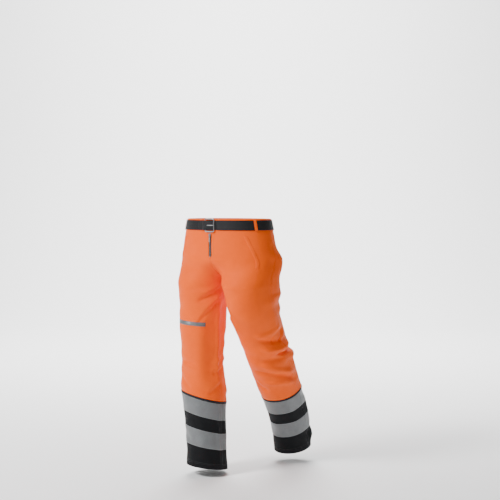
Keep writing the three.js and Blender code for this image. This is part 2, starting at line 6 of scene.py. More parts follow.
import bmesh
import bpy
import numpy as np
from bpy.props import FloatProperty, FloatVectorProperty, PointerProperty
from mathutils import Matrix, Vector


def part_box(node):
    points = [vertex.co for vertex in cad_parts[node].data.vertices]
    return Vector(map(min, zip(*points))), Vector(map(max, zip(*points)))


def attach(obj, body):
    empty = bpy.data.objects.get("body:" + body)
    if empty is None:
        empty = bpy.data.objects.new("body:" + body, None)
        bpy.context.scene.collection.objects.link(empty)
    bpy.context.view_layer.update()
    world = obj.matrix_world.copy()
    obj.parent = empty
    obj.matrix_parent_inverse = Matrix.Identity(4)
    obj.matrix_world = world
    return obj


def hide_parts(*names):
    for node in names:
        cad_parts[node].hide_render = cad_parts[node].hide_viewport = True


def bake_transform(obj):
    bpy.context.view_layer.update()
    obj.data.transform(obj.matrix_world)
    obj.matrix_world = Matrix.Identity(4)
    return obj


bl_info = {
    "name": "Protective leg wear",
    "version": (1, 0, 0),
    "blender": (4, 5, 0),
    "location": "View3D > Sidebar > Leg wear",
    "description": "Builds chainsaw-protective over-trousers round their packed frame",
    "category": "Object",
}

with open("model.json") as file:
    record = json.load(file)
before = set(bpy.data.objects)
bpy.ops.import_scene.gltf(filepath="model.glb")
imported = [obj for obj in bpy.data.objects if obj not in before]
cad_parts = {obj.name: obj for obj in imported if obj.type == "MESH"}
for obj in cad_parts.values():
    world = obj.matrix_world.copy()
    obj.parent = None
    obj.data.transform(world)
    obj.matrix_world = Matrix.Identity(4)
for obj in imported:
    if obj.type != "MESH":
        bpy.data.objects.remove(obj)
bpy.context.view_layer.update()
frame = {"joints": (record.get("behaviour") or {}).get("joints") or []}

MM = 0.001
CROTCH_DOWN = 0.255
RISE_CURVE_START = 0.155
WAISTBAND_HEIGHT = 0.048
CUFF_LENGTH = 0.290
BINDING_WIDTH = 0.009
TAPE_WIDTH = 0.070
TAPE_SPACING = 0.056
ZIP_TOP = 0.056
ZIP_END = 0.150
FLY_GAP = 0.0105  # share of a half turn by which each edge stands back from the zip
NOMINAL_GIRTH = 0.57  # one turn round a leg, for cloth patterns

# Hip outline from the waist rim to the crotch: half width, front depth, back depth.
HIPS = np.array([[178, 127, 128], [196, 131, 141], [208, 131, 146], [212, 130, 136]]) * MM

# Leg outline: share of the leg's height, centre out, centre y, half width, half depth, back lean, outer lean.
RIGHT_LEG = [
    (0.000, 108, -18, 98, 112, 0, 0),
    (0.128, 107, -24, 92, 102, 0, 2),
    (0.262, 108, -28, 88, 98, -2, 5),
    (0.389, 109, -28, 84, 86, -5, 8),
    (0.530, 110, -22, 87, 90, -9, 11),
    (0.651, 110, -15, 87, 89, -10, 12),
    (0.779, 109, -5, 82, 85, -10, 11),
    (0.893, 108, -2, 80, 84, -9, 8),
    (1.000, 108, 2, 80, 86, -8, 4),
]
LEFT_LEG = [
    (0.000, 108, -30, 98, 116, 6, 0),
    (0.105, 108, -6, 96, 111, 17, 0),
    (0.252, 105, 62, 89, 98, 22, 0),
    (0.399, 98, 134, 85, 96, 20, 0),
    (0.552, 87, 212, 83, 88, 21, 2),
    (0.706, 77, 294, 79, 82, 23, 2),
    (0.846, 69, 350, 76, 80, 20, 2),
    (1.000, 62, 386, 75, 80, 12, 0),
]

SHELL = 1.0 * MM
THIGH_PAD_TOP = 0.355
THIGH_LINING_TOP = 0.390
HAND_POCKET_TOP = 0.066
HAND_POCKET_LENGTH = 0.120
HAND_POCKET_SIDE = 0.24  # side line of the welt's upper end
HAND_POCKET_SLANT = 0.09  # how far the welt runs to the side over its length
HAND_BAG_ROWS = (0.074, 0.205)
HAND_BAG_SIDES = (2 / 12, 5 / 12)
BACK_POCKET_ROWS = (0.084, 0.156)
BACK_FLAP_ROWS = (0.072, 0.116)
STRIP_ROWS = (0.404, 0.420)
STRIP_SIDES = (0.125, 0.40)
BELT_LOOPS = (-62, -122, 180, 122, 62)  # degrees from the front
BELT_LOOP_HALF_WIDTH = 0.007
WAIST_HALF_WIDTH = 0.178
SEAM_ROWS = (4.5, 10.5)  # rows of stitches beside a seam, in millimetres
PAD_OUTER = -2.6 * MM
PAD_INNER = -8.6 * MM
PAD_CHANNELS = 8
PAD_SIDES = (1 / 12 + 0.01, 7 / 12 - 0.01)
LINING_OFF = -9.8 * MM


# ---- the garment's surface ----
def spline(rows, t):
    """Catmull-Rom through equally spaced rows: a cubic through each pair, with its neighbours' slope."""
    t = np.asarray(t, float)
    i = np.clip(np.floor(t).astype(int), 0, len(rows) - 2)
    f = (t - i)[..., None]
    ends = np.vstack([2 * rows[0] - rows[1], rows, 2 * rows[-1] - rows[-2]])
    p0, p1, p2, p3 = (ends[i + k] for k in range(4))
    return p1 + 0.5 * f * (p2 - p0 + f * (2 * p0 - 5 * p1 + 4 * p2 - p3 + f * (3 * (p1 - p2) + p3 - p0)))


def smooth(x):
    """3x^2 - 2x^3 between 0 and 1."""
    x = np.clip(x, 0, 1)
    return x * x * (3 - 2 * x)


class Leg:
    """One leg's outline rows, and the distance down its centre line from the crotch."""

    def __init__(self, name, side, height, stations):
        """Rows in metres and radians, and the running length of straight steps from centre to centre."""
        rows = np.array(stations, float)
        rows[:, 0] = CROTCH_DOWN + rows[:, 0] * height
        rows[:, 1:5] *= MM
        rows[:, 5:] = np.radians(rows[:, 5:])
        self.name, self.side, self.rows = name, side, rows
        self.t = np.linspace(0, len(rows) - 1, 40 * (len(rows) - 1) + 1)
        steps = np.linalg.norm(np.diff(spline(rows, self.t)[:, :3], axis=0), axis=1)
        self.lengths = CROTCH_DOWN + np.concatenate([[0], np.cumsum(steps)])
        self.hem = float(self.lengths[-1])
        self.cuff_top = self.hem - CUFF_LENGTH
        first = self.cuff_top + BINDING_WIDTH
        second = first + TAPE_WIDTH + TAPE_SPACING
        self.tapes = ((first, first + TAPE_WIDTH), (second, second + TAPE_WIDTH))

    def row_at(self, down):
        """The row number at a distance down the leg, carried on in a straight line past the hem."""
        past = (down - self.hem) / (self.lengths[-1] - self.lengths[-2]) * (self.t[-1] - self.t[-2])
        return np.interp(down, self.lengths, self.t) + np.maximum(past, 0)


LEGS = (Leg("right", -1, 0.745, RIGHT_LEG), Leg("left", 1, 0.715, LEFT_LEG))
RIGHT, LEFT = LEGS


def leg_outline(leg, down, u, off):
    """A tilted ellipse round the leg's centre line: (a + off) cos turn across, (b + off) sin turn back."""
    drop, out, y, a, b, lean_y, lean_x = np.moveaxis(spline(leg.rows, leg.row_at(down)), -1, 0)
    turn = np.pi * (2 * u - 1)
    across = (a + off) * np.cos(turn)
    back = (b + off) * np.sin(turn)
    x = leg.side * (out + across * np.cos(lean_x))
    z = -drop + across * np.sin(lean_x) + back * np.sin(lean_y)
    return np.stack([x, y + back * np.cos(lean_y), z], -1)


def hip_outline(down, angle, off):
    """An ellipse round the waist at an angle from the front, with its own depth in front and at the back."""
    half, front, back = np.moveaxis(spline(HIPS, down / CROTCH_DOWN * (len(HIPS) - 1)), -1, 0)
    depth = np.where(np.cos(angle) > 0, front, back) + off
    return np.stack([(half + off) * np.sin(angle), -depth * np.cos(angle), -down + 0 * angle], -1)


def garment(leg, down, u, off=0.0):
    """The outer face moved out by off: the hip outline turns into the leg's outline by the crotch."""
    down, u, off = np.broadcast_arrays(*(np.asarray(v, float) for v in (down, u, off)))
    on_leg = leg_outline(leg, np.maximum(down, CROTCH_DOWN), u, off)
    on_leg[..., 2] += np.maximum(CROTCH_DOWN - down, 0)
    on_hip = hip_outline(np.minimum(down, CROTCH_DOWN), leg.side * np.pi * u, off)
    share = smooth((down - RISE_CURVE_START) / (CROTCH_DOWN - RISE_CURVE_START))[..., None]
    return on_hip * (1 - share) + on_leg * share


# ---- folds ----
# Each fold: three places (down, u) it runs through, half width in mm, height in mm (below 0 a valley),
# and the share of its height by which the cloth swings the other way on its right-hand side.
FOLDS = {
    "right": [
        ((0.268, 0.015), (0.296, 0.100), (0.324, 0.185), 9, -5.5, 0.3),
        ((0.296, 0.020), (0.326, 0.095), (0.364, 0.160), 10, 3.5, 0),
        ((0.312, 0.020), (0.357, 0.103), (0.412, 0.182), 7, -4.0, 0.4),
        ((0.277, 0.250), (0.269, 0.153), (0.262, 0.072), 10, -2.5, 0.3),
        ((0.385, 0.165), (0.518, 0.163), (0.660, 0.175), 28, 4.5, 0),
        ((0.385, 0.100), (0.500, 0.095), (0.640, 0.100), 24, -3.5, 0),
        ((0.300, 0.040), (0.440, 0.030), (0.640, 0.034), 10, 5.5, 0),
        ((0.285, 0.980), (0.410, 0.975), (0.600, 0.980), 22, -7.0, 0),
        ((0.404, 0.370), (0.400, 0.290), (0.406, 0.215), 9, -3.5, 0.5),
        ((0.579, 0.380), (0.575, 0.290), (0.580, 0.200), 12, -5.0, 0.4),
        ((0.600, 0.890), (0.660, 0.890), (0.730, 0.890), 22, 6.0, 0),
        ((0.640, 0.400), (0.750, 0.400), (0.930, 0.400), 26, 4.0, 0),
        ((0.535, 0.960), (0.552, 0.030), (0.566, 0.070), 9, 4.0, 0),
        ((0.582, 0.930), (0.594, 0.010), (0.608, 0.075), 9, -4.5, 0.5),
        ((0.636, 0.990), (0.662, 0.050), (0.692, 0.110), 9, -4.0, 0.5),
        ((0.650, 0.360), (0.668, 0.300), (0.690, 0.250), 12, -3.0, 0.5),
        ((0.720, 0.045), (0.850, 0.045), (1.010, 0.045), 9, 4.0, 0),
        ((0.730, 0.990), (0.860, 0.985), (1.010, 0.990), 16, -4.0, 0),
        ((0.730, 0.200), (0.860, 0.180), (1.000, 0.170), 26, 3.0, 0),
        ((0.868, 0.420), (0.880, 0.360), (0.900, 0.290), 14, -3.0, 0.4),
        ((0.292, 0.700), (0.304, 0.820), (0.290, 0.950), 13, -5.0, 0.5),
        ((0.330, 0.620), (0.345, 0.750), (0.335, 0.880), 16, -3.0, 0.5),
        ((0.500, 0.600), (0.517, 0.740), (0.505, 0.900), 10, -5.5, 0.6),
        ((0.556, 0.580), (0.573, 0.760), (0.563, 0.930), 12, -6.0, 0.7),
        ((0.612, 0.640), (0.628, 0.780), (0.618, 0.900), 13, -4.0, 0.6),
        ((0.676, 0.640), (0.694, 0.800), (0.680, 0.930), 12, -3.0, 0.5),
        ((0.890, 0.600), (0.905, 0.740), (0.895, 0.880), 14, -4.0, 0.6),
    ],
    "left": [
        ((0.110, 0.600), (0.220, 0.600), (0.335, 0.600), 46, 21.0, 0),
        ((0.292, 0.500), (0.300, 0.590), (0.308, 0.680), 10, -2.5, 0),
        ((0.290, 0.610), (0.330, 0.610), (0.400, 0.605), 34, 8.0, 0),
        ((0.258, 0.050), (0.310, 0.090), (0.370, 0.110), 34, -19.0, 0),
        ((0.600, 0.600), (0.700, 0.600), (0.880, 0.600), 34, 5.5, 0),
        ((0.850, 0.600), (0.960, 0.600), (1.090, 0.600), 34, 13.0, 0),
        ((0.300, 0.490), (0.380, 0.485), (0.445, 0.470), 18, 5.0, 0),
        ((0.442, 0.530), (0.452, 0.410), (0.446, 0.310), 13, 6.5, 0),
        ((0.462, 0.310), (0.490, 0.400), (0.522, 0.580), 11, -10.0, 0),
        ((0.470, 0.430), (0.488, 0.422), (0.510, 0.428), 6, -5.0, 0),
        ((0.464, 0.535), (0.493, 0.508), (0.516, 0.480), 7, -7.0, 0.4),
        ((0.507, 0.320), (0.541, 0.442), (0.546, 0.600), 13, 9.0, 0),
        ((0.562, 0.420), (0.579, 0.520), (0.584, 0.660), 8, -15.0, 0),
        ((0.596, 0.450), (0.610, 0.530), (0.617, 0.660), 16, 9.5, 0),
        ((0.582, 0.275), (0.580, 0.380), (0.626, 0.560), 17, -10.0, 0),
        ((0.591, 0.280), (0.636, 0.380), (0.692, 0.520), 14, 8.0, 0),
        ((0.632, 0.220), (0.663, 0.364), (0.732, 0.530), 12, -9.0, 0),
        ((0.696, 0.250), (0.710, 0.364), (0.738, 0.490), 13, 6.0, 0),
        ((0.700, 0.160), (0.726, 0.219), (0.746, 0.270), 11, -5.0, 0.3),
        ((0.268, 0.020), (0.310, 0.080), (0.350, 0.120), 11, -3.0, 0.4),
        ((0.800, 0.380), (0.900, 0.400), (1.000, 0.400), 24, 3.5, 0),
        ((0.985, 0.640), (1.015, 0.570), (1.030, 0.500), 12, -5.0, 0.4),
        ((1.028, 0.650), (1.048, 0.590), (1.060, 0.520), 13, 7.0, 0),
        ((0.290, 0.700), (0.304, 0.820), (0.288, 0.950), 13, -5.5, 0.5),
        ((0.518, 0.620), (0.535, 0.740), (0.522, 0.900), 10, -6.0, 0.5),
        ((0.628, 0.600), (0.640, 0.720), (0.628, 0.880), 13, -6.0, 0.6),
        ((0.700, 0.600), (0.716, 0.740), (0.700, 0.900), 12, -4.0, 0.5),
        ((0.450, 0.920), (0.470, 0.020), (0.500, 0.080), 13, -2.5, 0.4),
    ],
}
# Where each seam draws the cloth in: side line, depth in millimetres, and how far down it starts.
SEAM_PULLS = ((0.5, 0.9, 0.05), (0.0, 0.7, ZIP_END), (1.0, 0.7, 0.05))
PUCKER_PITCH = 0.021
HEM_FLARE = 1.6 * MM  # how far the cuff's hem stands out
# Broad soft dents: waves per metre down, waves round the leg, phase, height in millimetres.
DENTS = [
    (4.3, 1, 0.4, 1.3),
    (7.1, 2, 1.9, 1.2),
    (11.3, 3, 4.4, 0.9),
    (16.7, 2, 2.8, 0.6),
    (13.1, 5, 0.9, 0.5),
]


def fold(down, u, start, middle, end, width, height, swing):
    """A parabola through three places, faded at both ends.

    Its profile at x half widths from its line is height * (exp(-x^2) - swing * exp(-(x - 1.8)^2)).
    """

    def turned(u1, u0):
        """The shorter way round from u0 to u1, as a share of a turn."""
        return (u1 - u0 + 0.5) % 1 - 0.5

    dx, dy = turned(end[1], start[1]) * NOMINAL_GIRTH, end[0] - start[0]
    mx, my = turned(middle[1], start[1]) * NOMINAL_GIRTH, middle[0] - start[0]
    length = math.hypot(dx, dy)
    share = (mx * dx + my * dy) / length**2
    bow = (mx * dy - my * dx) / length / (share * (1 - share))
    x = (turned(u, middle[1]) + turned(middle[1], start[1])) * NOMINAL_GIRTH
    y = down - start[0]
    along = (x * dx + y * dy) / length**2
    inside = np.clip(along, 0, 1)
    across = ((x * dy - y * dx) / length - bow * inside * (1 - inside)) / (width * MM)
    line = np.exp(-(across**2)) - swing * np.exp(-((across - 1.8) ** 2))
    return height * MM * line * smooth(along / 0.3 + 0.3) * smooth((1 - along) / 0.3 + 0.3)


def drape(leg, down, u):
    """How far the worn cloth stands off its plain shape: creases, soft dents and a pull along each seam."""
    down, u = np.broadcast_arrays(np.asarray(down, float), np.asarray(u, float))
    total = np.zeros(down.shape)
    for places in FOLDS[leg.name]:
        total += fold(down, u, *places)
    for waves, rounds, phase, height in DENTS:
        swing = phase * (2 + leg.side)
        total += height * MM * np.sin(2 * np.pi * waves * down + swing) * np.sin(
            2 * np.pi * rounds * u + 2 * swing
        )
    total *= bpy.context.scene.leg_wear_cloth.fold_strength
    settle = smooth((down - 0.06) / 0.10) * (1 - 0.35 * smooth((down - leg.cuff_top) / 0.03))
    total = total * settle
    # A seam draws the cloth in, and puckers it a little between its stitches.
    for seam, depth, start in SEAM_PULLS:
        away = (u - seam) * NOMINAL_GIRTH / MM
        pucker = 1 + 0.35 * np.sin(2 * np.pi * down / PUCKER_PITCH + 5 * seam)
        total -= depth * MM * pucker * np.exp(-((away / 3.2) ** 2)) * smooth((down - start) / 0.03)
        total += 0.5 * MM * np.exp(-(((away - 8) / 5) ** 2))
    total += HEM_FLARE * smooth((down - leg.hem + 0.030) / 0.030)
    return total


def worn(leg, down, u, off=0.0):
    """The worn cloth's outer face, moved out by off. Beside the zip its front edge stands back."""
    down, u = np.broadcast_arrays(np.asarray(down, float), np.asarray(u, float))
    length = smooth((down - ZIP_TOP + 0.003) / 0.008) * smooth((ZIP_END + 0.003 - down) / 0.012)
    back = FLY_GAP * length * np.clip(1 - u / 0.07, 0, 1)
    return garment(leg, down, u + back, off + drape(leg, down, u))


# ---- making meshes ----
def spread(lo, hi, step, marks=()):
    """Even values from lo to hi about step apart, with extra ones at the marks that lie between."""
    even = np.linspace(lo, hi, max(int(round((hi - lo) / step)), 1) + 1)
    extra = [m for m in marks if lo < m < hi]
    values = np.unique(np.concatenate([even, extra]))
    keep = np.concatenate([[True], np.diff(values) > step / 8])
    keep[-1] = True
    return values[keep]


def mesh_object(name, points, faces, uvs=None, material=None):
    """A smooth mesh from an array of points and one of equal-sided faces."""
    mesh = bpy.data.meshes.new(name)
    points = np.ascontiguousarray(points, np.float32).reshape(-1, 3)
    faces = np.ascontiguousarray(faces, np.int32)
    sides = faces.shape[1]
    mesh.vertices.add(len(points))
    mesh.vertices.foreach_set("co", points.ravel())
    mesh.loops.add(faces.size)
    mesh.loops.foreach_set("vertex_index", faces.ravel())
    mesh.polygons.add(len(faces))
    mesh.polygons.foreach_set("loop_start", np.arange(0, faces.size, sides, dtype=np.int32))
    mesh.polygons.foreach_set("use_smooth", np.ones(len(faces), bool))
    if uvs is not None:
        layer = mesh.uv_layers.new(name="cloth")
        layer.data.foreach_set("uv", np.ascontiguousarray(uvs, np.float32).ravel())
    mesh.update(calc_edges=True)
    mesh.validate()
    # An open edge is kept crisp, so that two pieces of cloth that meet there shade as one.
    edges = np.empty(len(mesh.loops), np.int32)
    mesh.loops.foreach_get("edge_index", edges)
    sharp = mesh.attributes.new("sharp_edge", "BOOLEAN", "EDGE")
    sharp.data.foreach_set("value", np.bincount(edges, minlength=len(mesh.edges)) == 1)
    obj = bpy.data.objects.new(name, mesh)
    bpy.context.scene.collection.objects.link(obj)
    if material:
        mesh.materials.append(material)
    return obj


def unit(vectors):
    """Vectors along the last axis, each divided by its length."""
    return vectors / np.linalg.norm(vectors, axis=-1, keepdims=True)


def quads_over(n, m, wrap_rows=False, wrap_columns=False):
    """Four-sided faces over n rows of m points numbered row by row. Wrap joins the last to the first."""
    rows = np.arange(n if wrap_rows else n - 1)[:, None]
    cols = np.arange(m if wrap_columns else m - 1)[None, :]
    below, after = (rows + 1) % n, (cols + 1) % m
    corners = (rows * m + cols, rows * m + after, below * m + after, below * m + cols)
    return np.stack(np.broadcast_arrays(*corners), -1).reshape(-1, 4)


def grid(name, points, uv, material, wrap=False, outward=None):
    """A sheet of four-sided faces over a grid of points. Wrap joins the last column to the first."""
    n, m = points.shape[:2]
    quads = quads_over(n, m, wrap_columns=wrap)
    flat_uv = uv.reshape(-1, 2)[quads]
    if wrap:  # the last column's far side takes a full turn, not the start
        last = np.tile(np.arange(m) == m - 1, n - 1)
        flat_uv[last, 1, 0] += NOMINAL_GIRTH
        flat_uv[last, 2, 0] += NOMINAL_GIRTH
    p = points.reshape(-1, 3)
    middle = len(quads) // 2
    q = p[quads[middle]]
    normal = np.cross(q[2] - q[0], q[3] - q[1])
    if outward is not None and np.dot(normal, outward.reshape(-1, 3)[quads[middle][0]]) < 0:
        quads, flat_uv = quads[:, ::-1], flat_uv[:, ::-1]
    return mesh_object(name, p, quads, flat_uv, material)


SEAM_MARKS = [
    s + d * MM / NOMINAL_GIRTH
    for s in (0, 0.5, 1) for d in (-9, -6, -4, -2.5, -1, 1, 2.5, 4, 6, 9)
]


def cloth_grid(name, leg, downs, us, off, material, wrap=False, shape=worn):
    """Part of the garment as a grid, with a cloth pattern that runs on from piece to piece."""
    down, u = np.meshgrid(downs, us, indexing="ij")
    points = shape(leg, down, u, off)
    outward = shape(leg, down, u, off + MM) - points
    uv = np.stack([u * NOMINAL_GIRTH, -down], -1)
    return grid(name, points, uv, material, wrap, outward)


def merged(obj, distance=0.00002):
    """Closes the slit where a piece's first and last columns meet."""
    work = bmesh.new()
    work.from_mesh(obj.data)
    bmesh.ops.remove_doubles(work, verts=work.verts, dist=distance)
    work.to_mesh(obj.data)
    work.free()
    return obj


def faced_out(obj, fill=False):
    """Turns a closed mesh's faces outwards, after filling its open ends where fill asks for it."""
    work = bmesh.new()
    work.from_mesh(obj.data)
    if fill:
        bmesh.ops.holes_fill(work, edges=[e for e in work.edges if e.is_boundary], sides=0)
    bmesh.ops.recalc_face_normals(work, faces=work.faces)
    work.to_mesh(obj.data)
    work.free()
    return obj


def thicken(obj, thickness):
    """A cloth wall that grows inwards from the outer face."""
    wall = obj.modifiers.new("cloth", "SOLIDIFY")
    wall.thickness = thickness
    wall.offset = -1
    wall.use_rim = True
    return obj


def around(step):
    """Columns all round a leg, close together beside its seams."""
    return spread(0, 1, step / NOMINAL_GIRTH, SEAM_MARKS)


# ---- bodies, CAD nodes and joint places ----
SPLIT = {"right": 0.450, "left": 0.485}  # where the hip piece hands over to the knee piece


def mark(obj, slot, *nodes):
    """Hides the CAD nodes that a piece stands for."""
    if nodes:
        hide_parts(*nodes)


def ride(obj, body, slot, *nodes):
    """Hangs a piece on one body, and hides the CAD nodes it stands for."""
    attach(obj, body)
    mark(obj, slot, *nodes)


def node_box(node):
    """A CAD node's two far corners, its middle and its size."""
    lo, hi = (np.array(v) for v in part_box(node))
    return lo, hi, (lo + hi) / 2, hi - lo


def bend_at_hip(obj, leg):
    """Bakes the piece's place in the world into its mesh."""
    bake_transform(obj)


def joint_place(name):
    """A joint's point in the row frame."""
    return np.array(next(j["pos_m"] for j in frame["joints"] if j["name"] == name), float)


def bend_at_knee(obj, leg):
    """Bakes the piece's place in the world into its mesh."""
    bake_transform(obj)


# ---- materials ----
class Nodes:
    """Short words for building a material's node tree."""

    def __init__(self, name):
        """A new node material and its shader."""
        self.material = bpy.data.materials.new(name)
        self.material.use_nodes = True
        self.tree = self.material.node_tree
        self.shader = self.tree.nodes["Principled BSDF"]

    def add(self, kind, settings=None, **inputs):
        """A new node with its settings, and its inputs by name with _ for a space."""
        node = self.tree.nodes.new(kind)
        for key, value in (settings or {}).items():
            setattr(node, key, value)
        for key, value in inputs.items():
            self.put(node, key.replace("_", " "), value)
        return node

    def put(self, node, key, value):
        """A link where the value is a socket, otherwise the input's own value."""
        socket = node.inputs[int(key)] if key.isdigit() else node.inputs[key]
        if isinstance(value, bpy.types.NodeSocket):
            self.tree.links.new(value, socket)
        else:
            socket.default_value = value

    def texture(self, kind, place, out="Fac", settings=None, **inputs):
        """One output of a texture, read at a place."""
        return self.add(f"ShaderNodeTex{kind}", settings, Vector=place, **inputs).outputs[out]

    def bump(self, strength, depth, height, **inputs):
        """The normal tilted by the slope of a height, with its depth in millimetres."""
        node = self.add("ShaderNodeBump", Strength=strength, Distance=depth * MM, Height=height, **inputs)
        return node.outputs[0]

    def fade(self, base, share, amount, stops, colour):
        """The base colour turned towards another where a ramp over share is white."""
        return self.mix(self.math("MULTIPLY", self.ramp(share, stops), amount), base, colour)

    def math(self, operation, a, b=0.0):
        """The result of one operation on two values."""
        node = self.add("ShaderNodeMath", {"operation": operation})
        self.put(node, "0", a)
        self.put(node, "1", b)
        return node.outputs[0]

    def mix(self, share, a, b, mode="MIX"):
        """The colour a turned towards b by a share."""
        node = self.add("ShaderNodeMix", {"data_type": "RGBA", "blend_type": mode})
        self.put(node, "0", share)
        self.put(node, "6", a)
        self.put(node, "7", b)
        return node.outputs[2]

    def ramp(self, value, stops):
        """Grey that runs straight from the first stop's level to the last one's."""
        node = self.add("ShaderNodeValToRGB", Fac=value)
        band = node.color_ramp
        band.elements[0].position, band.elements[0].color = stops[0][0], (*[stops[0][1]] * 3, 1)
        band.elements[1].position, band.elements[1].color = stops[-1][0], (*[stops[-1][1]] * 3, 1)
        return node.outputs[0]

    def set(self, **values):
        """Sets the shader's inputs and gives back the material."""
        for key, value in values.items():
            self.put(self.shader, key.replace("_", " "), value)
        return self.material


def rgba(color, gain=1.0):
    """A colour times a gain, held at 1, with full alpha."""
    return (*[min(c * gain, 1.0) for c in color], 1.0)


def woven(name, color, pitch=1.0, rough=0.75, sheen=0.25, soil=0.0, bump=0.35, rib=0.0, gloss=0.3):
    """Twill cloth: two crossed sets of threads on the cloth's own map, with soft colour drift and soil."""
    n = Nodes(name)
    uv = n.add("ShaderNodeUVMap", {"uv_map": "cloth"}).outputs[0]
    place = n.add("ShaderNodeTexCoord").outputs["Object"]
    scale = 0.314 / (pitch * MM)
    upright = {"bands_direction": "X"}
    warp = n.texture("Wave", uv, "Fac", upright, Scale=scale, Distortion=0.6, Detail=1.0)
    turned = n.add(
        "ShaderNodeMapping", {"vector_type": "POINT"}, Vector=uv, Rotation=(0, 0, math.radians(62))
    )
    weft = n.texture("Wave", turned.outputs[0], "Fac", upright, Scale=scale * 0.8, Distortion=0.8, Detail=1.0)
    threads = n.math("MULTIPLY", warp, weft)
    slub = n.texture("Noise", uv, Scale=900.0, Detail=2.0)
    drift = n.texture("Noise", place, Scale=9.0, Detail=4.0, Roughness=0.6)
    cloud = n.texture("Noise", place, Scale=38.0, Detail=3.0)
    base = n.mix(n.ramp(drift, [(0.35, 0.0), (0.7, 1.0)]), rgba(color, 0.93), rgba(color, 1.05))
    base = n.fade(base, cloud, 0.25, [(0.4, 0.0), (0.75, 1.0)], rgba(color, 0.86))
    base = n.fade(base, threads, 0.22, [(0.0, 1.0), (0.5, 0.0)], rgba(color, 0.62))
    height = n.add("ShaderNodeSeparateXYZ", Vector=place).outputs["Z"]
    low = n.math("MULTIPLY", n.ramp(n.math("MULTIPLY", height, -1.0), [(0.72, 0.0), (1.0, 1.0)]), soil)
    dust = n.math("MULTIPLY", low, n.ramp(cloud, [(0.3, 0.2), (0.65, 1.0)]))
    base = n.mix(dust, base, (0.17, 0.14, 0.11, 1))
    relief = n.math("ADD", n.math("MULTIPLY", threads, 0.8), n.math("MULTIPLY", slub, 0.35))
    if rib:
        ribs = n.texture("Wave", uv, "Fac", {"bands_direction": "Y"}, Scale=0.314 / (rib * MM))
        relief = n.math("ADD", relief, n.math("MULTIPLY", ribs, 1.5))
    fine = n.bump(bump, 0.25, relief)
    broad = n.bump(0.25, 2.5, cloud, Normal=fine)
    worn_rough = n.math("ADD", n.math("MULTIPLY", drift, 0.12), rough - 0.06)
    return n.set(
        Base_Color=base,
        Roughness=worn_rough,
        Normal=broad,
        Sheen_Weight=sheen,
        Sheen_Roughness=0.45,
        Sheen_Tint=rgba(color, 1.2),
        Specular_IOR_Level=gloss,
        Specular_Tint=rgba([0.25 + 0.75 * c / max(color) for c in color]),
    )


def beaded(name, color):
    """Reflective tape: tiny glass beads on grey cloth, with fine cross cracks and scuffs from wear."""
    n = Nodes(name)
    uv = n.add("ShaderNodeUVMap", {"uv_map": "cloth"}).outputs[0]
    place = n.add("ShaderNodeTexCoord").outputs["Object"]
    beads = n.texture("Voronoi", uv, "Distance", Scale=1400.0)
    cracks = n.texture("Voronoi", uv, "Distance", {"feature": "DISTANCE_TO_EDGE"}, Scale=75.0)
    cloud = n.texture("Noise", place, Scale=26.0, Detail=5.0, Roughness=0.65)
    base = n.mix(n.ramp(cloud, [(0.3, 0.0), (0.75, 1.0)]), rgba(color, 1.08), rgba(color, 0.86))
    base = n.fade(base, cracks, 0.18, [(0.0, 1.0), (0.05, 0.0)], rgba(color, 0.5))
    base = n.fade(base, beads, 0.2, [(0.1, 0.0), (0.6, 1.0)], rgba(color, 0.7))
    relief = n.math("SUBTRACT", n.math("MULTIPLY", cracks, 0.6), n.math("MULTIPLY", beads, 0.4))
    bump = n.bump(0.2, 0.2, relief)
    rough = n.math("ADD", n.math("MULTIPLY", cloud, 0.25), 0.32)
    return n.set(Base_Color=base, Roughness=rough, Normal=bump, Metallic=0.12, Specular_IOR_Level=0.45)


def metal(name, color, rough=0.32):
    """Satin plated steel: brushed along its length, with dull spots and brighter rubbed patches."""
    n = Nodes(name)
    place = n.add("ShaderNodeTexCoord").outputs["Object"]
    brush = n.add("ShaderNodeMapping", Vector=place, Scale=(220, 900, 2600))
    lines = n.texture("Noise", brush.outputs[0], Scale=1.0, Detail=3.0)
    spots = n.texture("Noise", place, Scale=160.0, Detail=4.0)
    base = n.mix(n.ramp(spots, [(0.4, 0.0), (0.7, 1.0)]), rgba(color), rgba(color, 0.72))
    bump = n.bump(0.15, 0.1, lines)
    dull = n.math("ADD", n.math("MULTIPLY", spots, 0.22), rough - 0.1)
    return n.set(Base_Color=base, Roughness=dull, Normal=bump, Metallic=1.0)


def netting(name, color):
    """Fine lining mesh: small round holes in staggered rows, drawn as dark dots with a raised net between."""
    n = Nodes(name)
    uv = n.add("ShaderNodeUVMap", {"uv_map": "cloth"}).outputs[0]
    holes = n.texture("Voronoi", uv, "Distance", Scale=420.0, Randomness=0.12)
    open_ = n.ramp(holes, [(0.22, 1.0), (0.34, 0.0)])
    base = n.mix(n.math("MULTIPLY", open_, 0.8), rgba(color), rgba(color, 0.25))
    bump = n.bump(0.4, 0.3, holes)
    return n.set(Base_Color=base, Roughness=0.8, Normal=bump, Sheen_Weight=0.15, Sheen_Roughness=0.5)


def thread(name, color):
    """Sewing thread: a tight twist seen as slanted bands."""
    n = Nodes(name)
    place = n.add("ShaderNodeTexCoord").outputs["Object"]
    twist = n.texture("Wave", place, "Fac", {"bands_direction": "DIAGONAL"}, Scale=900.0, Distortion=1.0)
    base = n.mix(n.math("MULTIPLY", twist, 0.35), rgba(color), rgba(color, 0.6))
    bump = n.bump(0.3, 0.1, twist)
    return n.set(Base_Color=base, Roughness=0.55, Normal=bump, Sheen_Weight=0.2)


MATERIALS = {}


